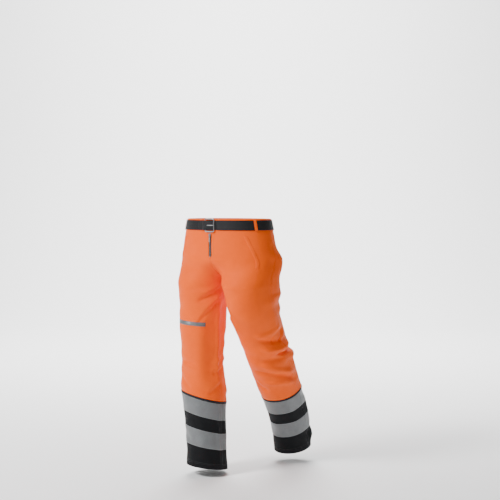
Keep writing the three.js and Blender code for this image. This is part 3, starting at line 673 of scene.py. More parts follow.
def cloth_material(key):
    """Each finish is made once, from the colours in the panel."""
    if key in MATERIALS:
        return MATERIALS[key]
    c = bpy.context.scene.leg_wear_colours
    makers = {
        "orange": lambda: woven("orange_twill", c.orange, pitch=1.1, rough=0.62, sheen=0.04),
        "charcoal": lambda: woven(
            "charcoal_cuff_cloth", c.charcoal, pitch=1.4, rough=0.7, sheen=0.06, bump=0.5, gloss=0.12
        ),
        "binding": lambda: woven(
            "black_binding", c.black, pitch=1.6, rough=0.7, sheen=0.2, soil=0.1, rib=1.4
        ),
        "reflective": lambda: beaded("reflective_tape", c.reflective),
        "quilt": lambda: woven("quilt_cover", c.quilt, pitch=1.8, rough=0.9, sheen=0.35, bump=0.6),
        "lining": lambda: netting("lining_mesh", c.lining),
        "webbing": lambda: woven(
            "belt_webbing", c.black, pitch=2.0, rough=0.62, sheen=0.15, bump=0.8, rib=2.2
        ),
        "elastic": lambda: woven("ribbed_elastic", c.lining, pitch=1.0, rough=0.8, sheen=0.2, rib=2.6),
        "zip": lambda: woven("zip_tape", c.black, pitch=0.9, rough=0.65, sheen=0.1),
        "steel": lambda: metal("satin_steel", c.steel),
        "orange_thread": lambda: thread("orange_thread", tuple(x * 0.8 for x in c.orange)),
        "black_thread": lambda: thread("black_thread", (0.03, 0.03, 0.033)),
        "grey_thread": lambda: thread("grey_thread", (0.32, 0.33, 0.33)),
    }
    MATERIALS[key] = makers[key]()
    return MATERIALS[key]


# ---- stitching ----
def read(at, run, values):
    """Rows of values read at distances along their run."""
    return np.stack([np.interp(at, run, values[:, k]) for k in range(3)], -1)


def stitches(name, lines, key, pitch=3.2 * MM, length=2.3 * MM, radius=0.32 * MM):
    """Runs of stitches: along each line, every pitch, a six-sided bead stretched to the stitch's length.

    A bead is a short tube that narrows to a quarter of its radius at both ends, sunk into the cloth.
    """
    shares = np.array([-0.5, -0.36, 0.0, 0.36, 0.5])
    sizes = np.array([0.25, 0.85, 1.0, 0.85, 0.25])
    turns = np.linspace(0, 2 * np.pi, 6, endpoint=False)
    starts, faces, base = [], [], 0
    tube = quads_over(len(shares), len(turns), wrap_columns=True)
    bead = len(shares) * len(turns)
    for points, outs in lines:
        steps = np.linalg.norm(np.diff(points, axis=0), axis=1)
        run = np.concatenate([[0], np.cumsum(steps)])
        count = int(run[-1] / pitch)
        if count < 1:
            continue
        at = (np.arange(count) + 0.5) * pitch
        middle, out = read(at, run, points), read(at, run, outs)
        along = read(at + length / 2, run, points) - read(at - length / 2, run, points)
        along /= np.linalg.norm(along, axis=1, keepdims=True) + 1e-12
        out -= along * np.sum(out * along, axis=1, keepdims=True)
        out /= np.linalg.norm(out, axis=1, keepdims=True) + 1e-12
        side = np.cross(along, out)
        middle = middle + out * radius * 0.35
        cosine, sine = (wave(turns)[None, None, :, None] for wave in (np.cos, np.sin))
        circle = out[:, None, None] * cosine + side[:, None, None] * sine
        rings = middle[:, None, None] + along[:, None, None] * (shares * length)[None, :, None, None]
        rings = rings + radius * sizes[None, :, None, None] * circle
        starts.append(rings.reshape(-1, 3))
        faces.append((tube[None] + (base + bead * np.arange(count))[:, None, None]).reshape(-1, 4))
        base += bead * count
    points, faces = np.concatenate(starts), np.concatenate(faces)
    q = points[faces[0]]
    normal = np.cross(q[2] - q[0], q[3] - q[1])
    if np.dot(normal, q.mean(0) - points[:bead].mean(0)) < 0:
        faces = faces[:, ::-1]
    return mesh_object(name, points, faces, None, cloth_material(key))


def line_on(leg, down, u, off=0.0, shape=worn):
    """A path on the cloth with its outward directions, for stitches."""
    down, u = np.broadcast_arrays(np.asarray(down, float), np.asarray(u, float))
    points = shape(leg, down, u, off)
    return points, shape(leg, down, u, off + MM) - points


def beside(seam, distance):
    """The side line at a distance from a seam."""
    return seam + distance / NOMINAL_GIRTH


# ---- operators: one for each group of like pieces ----
class LEGWEAR_OT_upper_legs(bpy.types.Operator):
    """Cloth from the waistband over hip, seat and thigh, one piece each side"""

    bl_idname = "legwear.upper_legs"
    bl_label = "Hips and thighs"

    def execute(self, context):
        step = context.scene.leg_wear_cloth.grid_step
        for leg in LEGS:
            downs = spread(WAISTBAND_HEIGHT - 2 * MM, SPLIT[leg.name], step)
            obj = cloth_grid(f"upper_leg_{leg.name}", leg, downs, around(step), 0.0, cloth_material("orange"))
            merged(obj)
            thicken(obj, SHELL)
            bend_at_hip(obj, leg)
            s = leg.name
            mark(obj, "orange_cloth", f"front_rise_{s}", f"seat_{s}", f"thigh_front_{s}", f"thigh_back_{s}")
        return {"FINISHED"}


class LEGWEAR_OT_lower_legs(bpy.types.Operator):
    """Orange cloth from mid thigh to the cuff, one piece each side"""

    bl_idname = "legwear.lower_legs"
    bl_label = "Knees"

    def execute(self, context):
        step = context.scene.leg_wear_cloth.grid_step
        for leg in LEGS:
            downs = spread(SPLIT[leg.name], leg.cuff_top + 3 * MM, step)
            us = around(step)[:-1]
            obj = cloth_grid(
                f"lower_leg_{leg.name}", leg, downs, us, 0.0, cloth_material("orange"), wrap=True
            )
            thicken(obj, SHELL)
            bend_at_knee(obj, leg)
            mark(obj, "orange_cloth", f"lower_leg_front_{leg.name}", f"lower_leg_back_{leg.name}")
        return {"FINISHED"}


class LEGWEAR_OT_gusset(bpy.types.Operator):
    """The strip under the crotch between the two sides' inner edges"""

    bl_idname = "legwear.gusset"
    bl_label = "Crotch gusset"

    def execute(self, context):
        down = spread(RISE_CURVE_START - 10 * MM, CROTCH_DOWN + 2 * MM, 3 * MM)
        run_down = np.concatenate([down, down[::-1][1:]])
        run_u = np.concatenate([0 * down, 0 * down[1:] + 1])
        edges = [worn(leg, run_down, run_u, -0.4 * MM) for leg in LEGS]
        across = np.linspace(-0.06, 1.06, 9)[None, :, None]
        points = edges[0][:, None] * (1 - across) + edges[1][:, None] * across
        centre = np.array([0.0, 0.0, -0.15])
        uv = np.stack(np.broadcast_arrays(points[..., 0], np.linspace(0, 0.4, len(points))[:, None]), -1)
        obj = grid("crotch_gusset_cloth", points, uv, cloth_material("orange"), outward=points - centre)
        thicken(obj, SHELL)
        ride(obj, "hips", "orange_cloth", "crotch_gusset")
        return {"FINISHED"}


class LEGWEAR_OT_cuffs(bpy.types.Operator):
    """Dark hard-wearing cuffs with a folded hem"""

    bl_idname = "legwear.cuffs"
    bl_label = "Cuffs"

    def execute(self, context):
        step = context.scene.leg_wear_cloth.grid_step
        for leg in LEGS:
            us = around(step)[:-1]
            downs = spread(leg.cuff_top, leg.hem, step, (leg.hem - 26 * MM, leg.hem - 24 * MM))
            # The hem turns up inside: down the outer face, round the fold, and up the inner face.
            turn = np.linspace(0, np.pi, 7)[1:]
            fold_down = leg.hem + 0.9 * MM * np.sin(turn)
            fold_off = -1.2 * MM * (1 - np.cos(turn))
            up = leg.hem - np.linspace(2, 26, 9) * MM
            all_down = np.concatenate([downs, fold_down, up])
            all_off = np.concatenate([0 * downs - 0.3 * MM, fold_off - 0.3 * MM, 0 * up - 2.9 * MM])
            down, u = np.meshgrid(all_down, us, indexing="ij")
            off = np.broadcast_to(all_off[:, None], down.shape)
            points = garment(leg, down, u, off + drape(leg, np.minimum(down, leg.hem), u))
            outward = garment(leg, down, u, off + drape(leg, np.minimum(down, leg.hem), u) + MM) - points
            uv = np.stack([u * NOMINAL_GIRTH, -down], -1)
            obj = grid(f"cuff_{leg.name}", points, uv, cloth_material("charcoal"), True, None)
            face = obj.data.polygons[10]
            if np.dot(face.normal, outward.reshape(-1, 3)[face.vertices[0]]) < 0:
                obj.data.flip_normals()
            ride(obj, f"{leg.name}_shin", "charcoal_cloth", f"cuff_front_{leg.name}", f"cuff_back_{leg.name}")
        return {"FINISHED"}


def tape(name, leg, span, u_span, base, height, key, step, edge=0.8 * MM):
    """A flat strip laid on the cloth: up one edge, across and down the other, with soft rounded edges."""
    lo, hi = span
    inner = spread(lo + edge, hi - edge, step)
    downs = np.concatenate([[lo, lo + 0.25 * edge], inner, [hi - 0.25 * edge, hi]])
    rise = np.concatenate([[-0.3, 0.7], np.ones(len(inner)), [0.7, -0.3]]) * height
    closed = u_span is None
    us = around(step)[:-1] if closed else spread(*u_span, step / NOMINAL_GIRTH)
    down, u = np.meshgrid(downs, us, indexing="ij")
    off = np.broadcast_to(rise[:, None], down.shape) + base
    if not closed:
        side = np.clip(np.minimum(u - u_span[0], u_span[1] - u) * NOMINAL_GIRTH / edge, 0, 1)
        off = base + (off - base) * smooth(side) - 0.3 * height * (side <= 0)
    points = worn(leg, down, u, off)
    uv = np.stack([u * NOMINAL_GIRTH, -down], -1)
    outward = worn(leg, down, u, off + MM) - points
    return grid(name, points, uv, cloth_material(key), closed, outward)


class LEGWEAR_OT_trim(bpy.types.Operator):
    """Each cuff's binding, two reflective bands a leg, and the plain strip on the right thigh"""

    bl_idname = "legwear.trim"
    bl_label = "Bands and binding"

    def execute(self, context):
        step = context.scene.leg_wear_cloth.grid_step
        for leg in LEGS:
            s = leg.name
            edge = (leg.cuff_top - 0.5 * MM, leg.cuff_top + BINDING_WIDTH - MM)
            pieces = [(f"binding_{s}", edge, "binding", "binding", f"cuff_binding_{s}", 1.5 * MM)]
            for which, span in zip(("upper", "lower"), leg.tapes):
                pieces.append(
                    (
                        f"reflective_tape_{which}_{s}",
                        span,
                        "reflective",
                        "reflective",
                        f"reflective_band_{which}_{s}",
                        0.7 * MM,
                    ),
                )
            for name, span, key, slot, node, height in pieces:
                obj = tape(name, leg, span, None, -0.2 * MM, height, key, step)
                ride(obj, f"{s}_shin", slot, node)
        strip = tape(
            "thigh_strip", RIGHT, STRIP_ROWS, STRIP_SIDES, 0.1 * MM, 0.45 * MM, "reflective", step / 2
        )
        ride(strip, "right_thigh", "reflective", "thigh_strip_right")
        return {"FINISHED"}


class LEGWEAR_OT_pads(bpy.types.Operator):
    """Cut-protection quilts over the front and outer side of each leg, sewn in upright channels"""

    bl_idname = "legwear.pads"
    bl_label = "Cut-protection pads"

    def execute(self, context):
        step = 2 * context.scene.leg_wear_cloth.grid_step
        for leg in LEGS:
            s = leg.name
            spans = (
                (f"thigh_pad_{s}", THIGH_PAD_TOP, SPLIT[s] - 6 * MM, bend_at_hip, f"thigh_cut_pad_{s}"),
                (f"shin_pad_{s}", SPLIT[s] + 6 * MM, leg.hem - 0.052, bend_at_knee, f"shin_cut_pad_{s}"),
            )
            for name, top, bottom, bend, node in spans:
                obj = self.quilt(name, leg, top, bottom, step)
                bend(obj, leg)
                mark(obj, "quilt", node)
        return {"FINISHED"}

    def quilt(self, name, leg, top, bottom, step):
        """A closed pad. Its half thickness follows |sin| ^ 0.5 over each channel and falls off at the rim."""
        lo, hi = PAD_SIDES
        us = spread(lo, hi, step / NOMINAL_GIRTH / 1.6)
        downs = spread(top, bottom, step)
        down, u = np.meshgrid(downs, us, indexing="ij")
        across = (u - lo) / (hi - lo)
        rim = np.minimum(np.minimum(down - top, bottom - down), np.minimum(u - lo, hi - u) * NOMINAL_GIRTH)
        body = np.abs(np.sin(np.pi * PAD_CHANNELS * across)) ** 0.5
        half = (PAD_OUTER - PAD_INNER) / 2 * (0.28 + 0.72 * body) * smooth(rim / 0.012 + 0.02) + 0.15 * MM
        middle = (PAD_OUTER + PAD_INNER) / 2
        fall = drape(leg, down, u)
        sheets = [garment(leg, down, u, middle + fall + sign * half) for sign in (1, -1)]
        n, m = down.shape
        outer = np.arange(n * m).reshape(n, m)
        edge = np.concatenate([outer[0, :], outer[1:, -1], outer[-1, -2::-1], outer[-2::-1, 0]])
        twin = edge + n * m
        rim_quads = np.stack([edge[:-1], twin[:-1], twin[1:], edge[1:]], -1)
        faces = np.concatenate([quads_over(n, m), (quads_over(n, m) + n * m)[:, ::-1], rim_quads])
        points = np.concatenate([x.reshape(-1, 3) for x in sheets])
        flat = np.stack([u * NOMINAL_GIRTH, -down], -1).reshape(-1, 2)
        uv = np.concatenate([flat, flat])[faces]
        obj = mesh_object(name, points, faces, uv, cloth_material("quilt"))
        q = points[faces[0]]
        if np.dot(np.cross(q[2] - q[0], q[3] - q[1]), sheets[0][0, 0] - sheets[1][0, 0]) < 0:
            obj.data.flip_normals()
        return obj


class LEGWEAR_OT_linings(bpy.types.Operator):
    """The fine mesh lining inside each leg"""

    bl_idname = "legwear.linings"
    bl_label = "Linings"

    def execute(self, context):
        step = 1.6 * context.scene.leg_wear_cloth.grid_step
        for leg in LEGS:
            s = leg.name
            us = spread(0, 1, step / NOMINAL_GIRTH)
            spans = (
                (f"thigh_lining_mesh_{s}", THIGH_LINING_TOP, SPLIT[s], bend_at_hip, f"thigh_lining_{s}"),
                (f"shin_lining_mesh_{s}", SPLIT[s], leg.hem - 0.024, bend_at_knee, f"shin_lining_{s}"),
            )
            for name, top, bottom, bend, node in spans:
                obj = cloth_grid(
                    name,
                    leg,
                    spread(top, bottom, step),
                    us[:-1],
                    LINING_OFF,
                    cloth_material("lining"),
                    wrap=True,
                )
                thicken(obj, 0.6 * MM)
                bend(obj, leg)
                mark(obj, "lining", node)
        return {"FINISHED"}


def ring_band(name, top, bottom, inner, outer, key, ends=None, ripple=0.0, ripples=0, rows=10, columns=288):
    """A flat band round the waist with rounded edges: a long rounded rectangle carried round the hip outline.

    ripple gathers it into small upright waves at the back, where elastic draws it in.
    """
    edge = min((outer - inner) / 2, 1.2 * MM)
    middle = (inner + outer) / 2
    half = (outer - inner) / 2
    turn = np.linspace(0, np.pi, 7)
    top_cap = np.stack([top + edge - edge * np.sin(turn), middle - half * np.cos(turn)], -1)
    out_side = np.stack([np.linspace(top + edge, bottom - edge, rows)[1:-1], np.full(rows - 2, outer)], -1)
    low_cap = np.stack([bottom - edge + edge * np.sin(turn), middle + half * np.cos(turn)], -1)
    in_side = np.stack([np.linspace(bottom - edge, top + edge, rows)[1:-1], np.full(rows - 2, inner)], -1)
    profile = np.concatenate([top_cap, out_side, low_cap, in_side])
    closed = ends is None
    angles = np.linspace(0, 2 * np.pi, columns, endpoint=False) if closed else np.linspace(
        ends[0], ends[1], columns
    )
    down = np.broadcast_to(profile[:, :1], (len(profile), columns))
    off = np.broadcast_to(profile[:, 1:], (len(profile), columns))
    if ripple:
        back = smooth((-np.cos(angles) - 0.1) / 0.35)[None, :]
        wave = np.sin(ripples * angles)[None, :] * np.sin(np.pi * (down - top) / (bottom - top)) ** 0.5
        off = off + ripple * back * wave
    points = hip_outline(down, np.broadcast_to(angles, down.shape), off)
    faces = quads_over(*points.shape[:2], True, closed)
    girth = np.broadcast_to(angles * 0.16, down.shape)
    along = np.concatenate([[0], np.cumsum(np.linalg.norm(np.diff(profile, axis=0), axis=1))])
    uv = np.stack([girth, np.broadcast_to(along[:, None], down.shape)], -1).reshape(-1, 2)[faces]
    obj = mesh_object(name, points, faces, uv, cloth_material(key))
    if not closed:
        return faced_out(obj, fill=True)
    face = obj.data.polygons[10 * columns]
    if face.normal.dot(Vector((face.center.x, face.center.y, 0))) < 0:
        obj.data.flip_normals()
    return obj


class LEGWEAR_OT_waist(bpy.types.Operator):
    """Waistband gathered by elastic at the back, belt and belt loops"""

    bl_idname = "legwear.waist"
    bl_label = "Waistband and belt"

    def execute(self, context):
        band = ring_band(
            "waistband_cloth",
            0.0,
            WAISTBAND_HEIGHT,
            -3 * MM,
            0.0,
            "orange",
            ripple=0.9 * MM,
            ripples=70,
            columns=420,
        )
        elastic = ring_band(
            "elastic",
            7 * MM,
            41 * MM,
            -5.4 * MM,
            -3.6 * MM,
            "elastic",
            (math.radians(105), math.radians(255)),
            ripple=0.0,
            columns=140,
        )
        belt = ring_band(
            "belt",
            5 * MM,
            43 * MM,
            1.2 * MM,
            3 * MM,
            "webbing",
            (math.radians(9.6), math.radians(350.4)),
            columns=260,
        )
        for obj, slot, node in (
            (band, "orange_cloth", "waistband"),
            (elastic, "elastic", "waist_elastic"),
            (belt, "webbing", "belt_webbing"),
        ):
            ride(obj, "hips", slot, node)
        for i, middle in enumerate(BELT_LOOPS):
            self.loop(i + 1, math.radians(middle))
        return {"FINISHED"}

    def loop(self, number, middle):
        """A strip that leaves the waistband above the belt, runs over the belt and comes back below it."""
        half = BELT_LOOP_HALF_WIDTH / WAIST_HALF_WIDTH
        downs = [np.linspace(0.8, 6.5, 8), np.linspace(8, 40, 12), np.linspace(41.5, 47.2, 8)]
        downs = np.concatenate(downs) * MM
        lift = np.minimum(smooth((downs / MM - 0.8) / 4.6), smooth((47.2 - downs / MM) / 4.6))
        outer = 0.7 * MM + 4.1 * MM * lift
        angles = middle + np.linspace(-half, half, 9)
        crown = 0.25 * MM * (1 - np.linspace(-1, 1, 9) ** 2)
        down, angle = np.meshgrid(downs, angles, indexing="ij")
        points = hip_outline(down, angle, outer[:, None] + crown[None, :])
        uv = np.stack([angle * WAIST_HALF_WIDTH, -down], -1)
        obj = grid(
            f"belt_loop_cloth_{number}",
            points,
            uv,
            cloth_material("orange"),
            outward=points * np.array([1, 1, 0]),
        )
        thicken(obj, 1.0 * MM)
        ride(obj, "hips", "orange_cloth", f"belt_loop_{number}")


def swept(name, centre, frame_u, frame_v, radii, key, closed=True, turns=12):
    """A round rod: a circle of radius r carried along a path in the plane of two directions at each point."""
    turn = np.linspace(0, 2 * np.pi, turns, endpoint=False)[None, :, None]
    circle = frame_u[:, None] * np.cos(turn) + frame_v[:, None] * np.sin(turn)
    points = centre[:, None] + radii[:, None, None] * circle
    faces = quads_over(*points.shape[:2], closed, True)
    obj = mesh_object(name, points, faces, None, cloth_material(key))
    return faced_out(obj, fill=not closed)


def rounded_rectangle(width, height, radius, steps=8):
    """Points round a rectangle with round corners, anticlockwise, with their outward directions."""
    turn = np.linspace(0, np.pi / 2, steps)
    corners = [(1, 1, 0), (-1, 1, 1), (-1, -1, 2), (1, -1, 3)]
    places, outs = [], []
    for sx, sy, quarter in corners:
        angle = turn + quarter * np.pi / 2
        centre = np.array([sx * (width / 2 - radius), sy * (height / 2 - radius)])
        outs.append(np.stack([np.cos(angle), np.sin(angle)], -1))
        places.append(centre + radius * outs[-1])
    return np.concatenate(places), np.concatenate(outs)


def ribbon(name, places, half_width, thickness, drop, key, tip=0.0):
    """Flat webbing: a rounded rectangle carried along a level path, narrowed to a round tip."""
    rows = np.array(places) * MM
    path = spline(rows, np.linspace(0, len(rows) - 1, 12 * (len(rows) - 1) + 1))
    ahead = unit(np.gradient(path, axis=0))
    run = np.concatenate([[0], np.cumsum(np.linalg.norm(np.diff(path, axis=0), axis=1))])
    outline, _ = rounded_rectangle(2 * half_width, thickness, thickness * 0.48, 4)
    left = np.clip((run[-1] - run) / max(tip, 1e-6), 0, 1)
    width = np.sqrt(np.clip(1 - (1 - left) ** 2, 0.02, 1)) if tip else np.ones(len(run))
    points = np.empty((len(path), len(outline), 3))
    points[..., 0] = path[:, :1] - ahead[:, 1:] * outline[None, :, 1]
    points[..., 1] = path[:, 1:] + ahead[:, :1] * outline[None, :, 1]
    points[..., 2] = -drop + width[:, None] * outline[None, :, 0]
    faces = quads_over(*points.shape[:2], wrap_columns=True)
    uv = np.stack(np.broadcast_arrays(run[:, None], points[..., 2]), -1).reshape(-1, 2)[faces]
    return faced_out(mesh_object(name, points, faces, uv, cloth_material(key)), fill=True)


class LEGWEAR_OT_buckle(bpy.types.Operator):
    """The belt's steel frame buckle and its prong"""

    bl_idname = "legwear.buckle"
    bl_label = "Buckle"

    def execute(self, context):
        _, hi, middle, size = node_box("belt_buckle_frame")
        rod = size[1] / 2
        place, out = rounded_rectangle(size[0] - 2 * rod, size[2] - 2 * rod, 6 * MM)
        path = middle + np.stack([place[:, 0], 0 * place[:, 0], place[:, 1]], -1)
        outward = np.stack([out[:, 0], 0 * out[:, 0], out[:, 1]], -1)
        depth = np.broadcast_to([0.0, 1.0, 0.0], path.shape)
        ring = swept("buckle_frame", path, outward, depth, np.full(len(path), rod * 0.97), "steel", turns=16)
        ride(ring, "hips", "steel", "belt_buckle_frame")
        self.webbing()
        # The prong leaves the bar, curls round it and tapers to rest on the far side.
        bar = joint_place("buckle_prong")
        curl = np.radians(np.linspace(-200, 60, 15))
        eye = 4.9 * MM
        around_bar = bar + np.stack([eye * np.sin(curl), -eye * np.cos(curl), 0 * curl], -1)
        reach = np.linspace(0, 1, 14)[1:]
        start = around_bar[-1]
        far = np.array([hi[0] - 1.2 * MM, start[1], bar[2]])
        tip = start + (far - start) * reach[:, None]
        tip[:, 1] = start[1] + (bar[1] - eye - start[1]) * smooth(reach * 3)
        path = np.concatenate([around_bar, tip])
        run = unit(np.gradient(path, axis=0))
        upright = np.broadcast_to([0.0, 0.0, 1.0], path.shape)
        side = np.cross(run, upright)
        thick = np.concatenate([np.full(15, 0.85), np.linspace(1.2, 0.8, 13)]) * MM
        prong = swept("buckle_prong_piece", path, side, upright * 1.7, thick, "steel", closed=False, turns=10)
        ride(prong, "buckle_prong", "steel", "belt_buckle_prong")
        return {"FINISHED"}

    def webbing(self):
        """The belt's fixed end round the bar in two halves, and its free end over the bar."""
        bar, y = -20.4, -134.6
        turn = np.radians(np.linspace(90, -90, 9))
        around_bar = [(bar + 3.5 * math.cos(a), y + 3.5 * math.sin(a)) for a in turn]
        fixed = [
            (-33.0, -126.6),
            (-28.0, -128.6),
            (-24.0, -130.4),
            *around_bar,
            (-24.0, -137.2),
            (-28.5, -133.4),
            (-33.5, -130.0),
            (-38.0, -128.6),
        ]
        pieces = [
            ribbon(f"belt_bar_loop_{i + 1}", fixed, 7.3 * MM, 1.1 * MM, drop, "webbing")
            for i, drop in enumerate((0.0132, 0.0348))
        ]
        free = [
            (31.0, -127.2),
            (26.0, -129.4),
            (20.4, -130.7),
            (13.0, -131.9),
            (4.0, -134.4),
            (-5.0, -137.2),
            (-13.0, -139.2),
            (-20.4, -139.9),
            (-27.0, -137.6),
            (-33.0, -133.2),
            (-40.0, -130.4),
            (-50.0, -127.9),
            (-60.0, -125.1),
        ]
        pieces.append(ribbon("belt_free_end", free, 18.5 * MM, 1.5 * MM, 0.024, "webbing", tip=0.016))
        for obj in pieces:
            ride(obj, "hips", "webbing")


def box_array(name, centres, sizes, key, bevel=0.25):
    """Many small blocks, each a cube with bevelled edges stretched to its own size."""
    work = bmesh.new()
    bmesh.ops.create_cube(work, size=1.0)
    bmesh.ops.bevel(work, geom=list(work.edges), offset=bevel * 0.5, segments=2, affect="EDGES")
    bmesh.ops.triangulate(work, faces=work.faces)
    block = np.array([v.co for v in work.verts])
    tris = np.array([[v.index for v in f.verts] for f in work.faces])
    work.free()
    points = centres[:, None] + block[None] * sizes[:, None]
    faces = (tris[None] + (len(block) * np.arange(len(centres)))[:, None, None]).reshape(-1, 3)
    return mesh_object(name, points, faces, None, cloth_material(key))


class LEGWEAR_OT_fly(bpy.types.Operator):
    """The fly's zip with its teeth, guard, slider and pull, under a sewn edge"""

    bl_idname = "legwear.fly"
    bl_label = "Fly"

    def execute(self, context):
        drop, x = np.meshgrid(
            spread(ZIP_TOP - 5 * MM, ZIP_END + 5 * MM, 2 * MM), np.linspace(-9.5, 9.5, 15) * MM, indexing="ij"
        )
        face = hip_outline(drop, 0 * drop, -1.5 * MM)[..., 1]
        y = face + 2.2 * x**2 + 0.12 * MM * np.sin(drop / (0.9 * MM))
        points = np.stack([x, y, -drop], -1)
        ahead = np.broadcast_to([0.0, -1.0, 0.0], points.shape)
        strip = grid("zip_tape_cloth", points, np.stack([x, -drop], -1), cloth_material("zip"), outward=ahead)
        thicken(strip, 0.9 * MM)
        rows = np.arange(ZIP_TOP - MM, ZIP_END - MM, 1.6 * MM)
        side = np.where(np.arange(len(rows)) % 2, 0.55 * MM, -0.55 * MM)
        centres = hip_outline(rows, 0 * rows, -0.3 * MM) + side[:, None] * np.array([1, 0, 0])
        sizes = np.broadcast_to([4.0 * MM, 1.5 * MM, 1.15 * MM], centres.shape)
        teeth = box_array("zip_teeth", centres, sizes, "steel")
        ride(strip, "hips", "zip_tape", "fly_zip_chain")
        ride(teeth, "hips", "steel")
        guard = ring_band(
            "fly_guard",
            0.051,
            0.155,
            -8 * MM,
            -6.4 * MM,
            "orange",
            (math.radians(-7), math.radians(7)),
            columns=24,
        )
        ride(guard, "hips", "orange_cloth", "fly_zip_guard")
        self.slider()
        return {"FINISHED"}

    def slider(self):
        """A rounded saddle with a bridge over it."""
        lo, hi, middle, size = node_box("fly_slider")
        t = np.linspace(0, 1, 17)
        half = size[0] / 2 * (0.62 + 0.38 * np.cos(np.pi * (t - 0.25)) ** 2)
        z = hi[2] - t * size[2]
        rows = []
        for x_share in np.linspace(-1, 1, 15):
            crown = (1 - abs(x_share) ** 4) * 1.1 * MM
            rows.append(
                np.stack(
                    [
                        x_share * half,
                        np.full(17, lo[1] + 2.6 * MM) - crown * np.sin(np.pi * np.clip(t, 0.03, 0.97)) ** 0.4,
                        z,
                    ],
                    -1,
                ),
            )
        points = np.stack(rows)
        uv = points[..., [0, 2]]
        saddle = grid(
            "zip_slider_body",
            points,
            uv,
            cloth_material("steel"),
            outward=np.broadcast_to([0.0, -1.0, 0.0], points.shape),
        )
        thicken(saddle, 1.1 * MM)
        angle = np.linspace(0, np.pi, 13)
        path = np.stack(
            [
                0 * angle,
                lo[1] + 2.0 * MM - 2.5 * MM * np.sin(angle) ** 0.6,
                middle[2] + 3.4 * MM * np.cos(angle),
            ],
            -1,
        )
        run = unit(np.gradient(path, axis=0))
        across = np.broadcast_to([1.0, 0.0, 0.0], path.shape)
        bridge = swept(
            "zip_slider_bridge",
            path,
            across,
            np.cross(run, across),
            np.full(13, 0.75 * MM),
            "steel",
            closed=False,
            turns=10,
        )
        ride(saddle, "fly_slider", "steel", "fly_slider")
        ride(bridge, "fly_slider", "steel")
        self.pull()

    def pull(self):
        """A flat rounded plate with a window for the bridge."""
        _, _, middle, size = node_box("fly_pull")
        place, _ = rounded_rectangle(size[0], size[2], 2.8 * MM, 7)
        taper = 1 - 0.16 * smooth((place[:, 1] + size[2] / 2) / size[2])
        outline = place * np.stack([taper, np.ones(len(place))], -1)
        window, _ = rounded_rectangle(3.2 * MM, 7.4 * MM, 1.2 * MM, 7)
        window = window + np.array([0, size[2] / 2 - 5.3 * MM])
        shares = np.array([0.0, 0.12, 0.5, 0.88, 1.0])
        crown = np.array([0.35, 0.75, 0.8, 0.75, 0.35]) * MM
        flat = outline[None] * (1 - shares[:, None, None]) + window[None] * shares[:, None, None]
        front = np.stack([flat[..., 0], -np.broadcast_to(crown[:, None], flat.shape[:2]), flat[..., 1]], -1)
        back = front[::-1] * np.array([1, -1, 1])
        shell = np.concatenate([front, back]) + middle
        n, m = shell.shape[:2]
        faces = quads_over(n, m, True, True)
        pull = mesh_object("zip_pull", shell, faces, None, cloth_material("steel"))
        if pull.data.polygons[m + 3].normal.y > 0:
            pull.data.flip_normals()
        ride(pull, "fly_pull", "steel", "fly_pull")


POCKET_SWEEP = (math.radians(18 - 180), math.radians(56 - 180))


def patch(name, span, sweep, off, key, thickness, point=0.0, rows=20, columns=34, sag=0.0, on_cloth=False):
    """A patch on the hip: its lower edge dropped by point in the middle, crowned by sag, its edges turned in.

    On the cloth it follows the worn surface, otherwise the plain hip outline.
    """
    share = np.linspace(0, 1, rows)[:, None]
    side = np.linspace(-1, 1, columns)[None, :]
    down = span[0] + (span[1] - span[0] - point * np.abs(side)) * share
    angle = (sweep[0] + sweep[1]) / 2 + (sweep[1] - sweep[0]) / 2 * side + 0 * share
    rim = np.minimum(np.minimum(share, 1 - share) * 8, (1 - np.abs(side)) * 10)
    lift = off + sag * np.sin(np.pi * share) * (1 - side**2) + 0.5 * MM * smooth(rim)
    points = worn(RIGHT, down, -angle / np.pi, lift) if on_cloth else hip_outline(down, angle, lift)
    uv = np.stack([angle * 0.18, -down], -1)
    obj = grid(name, points, uv, cloth_material(key), outward=points * np.array([1, 1, 0]))
    return thicken(obj, thickness)


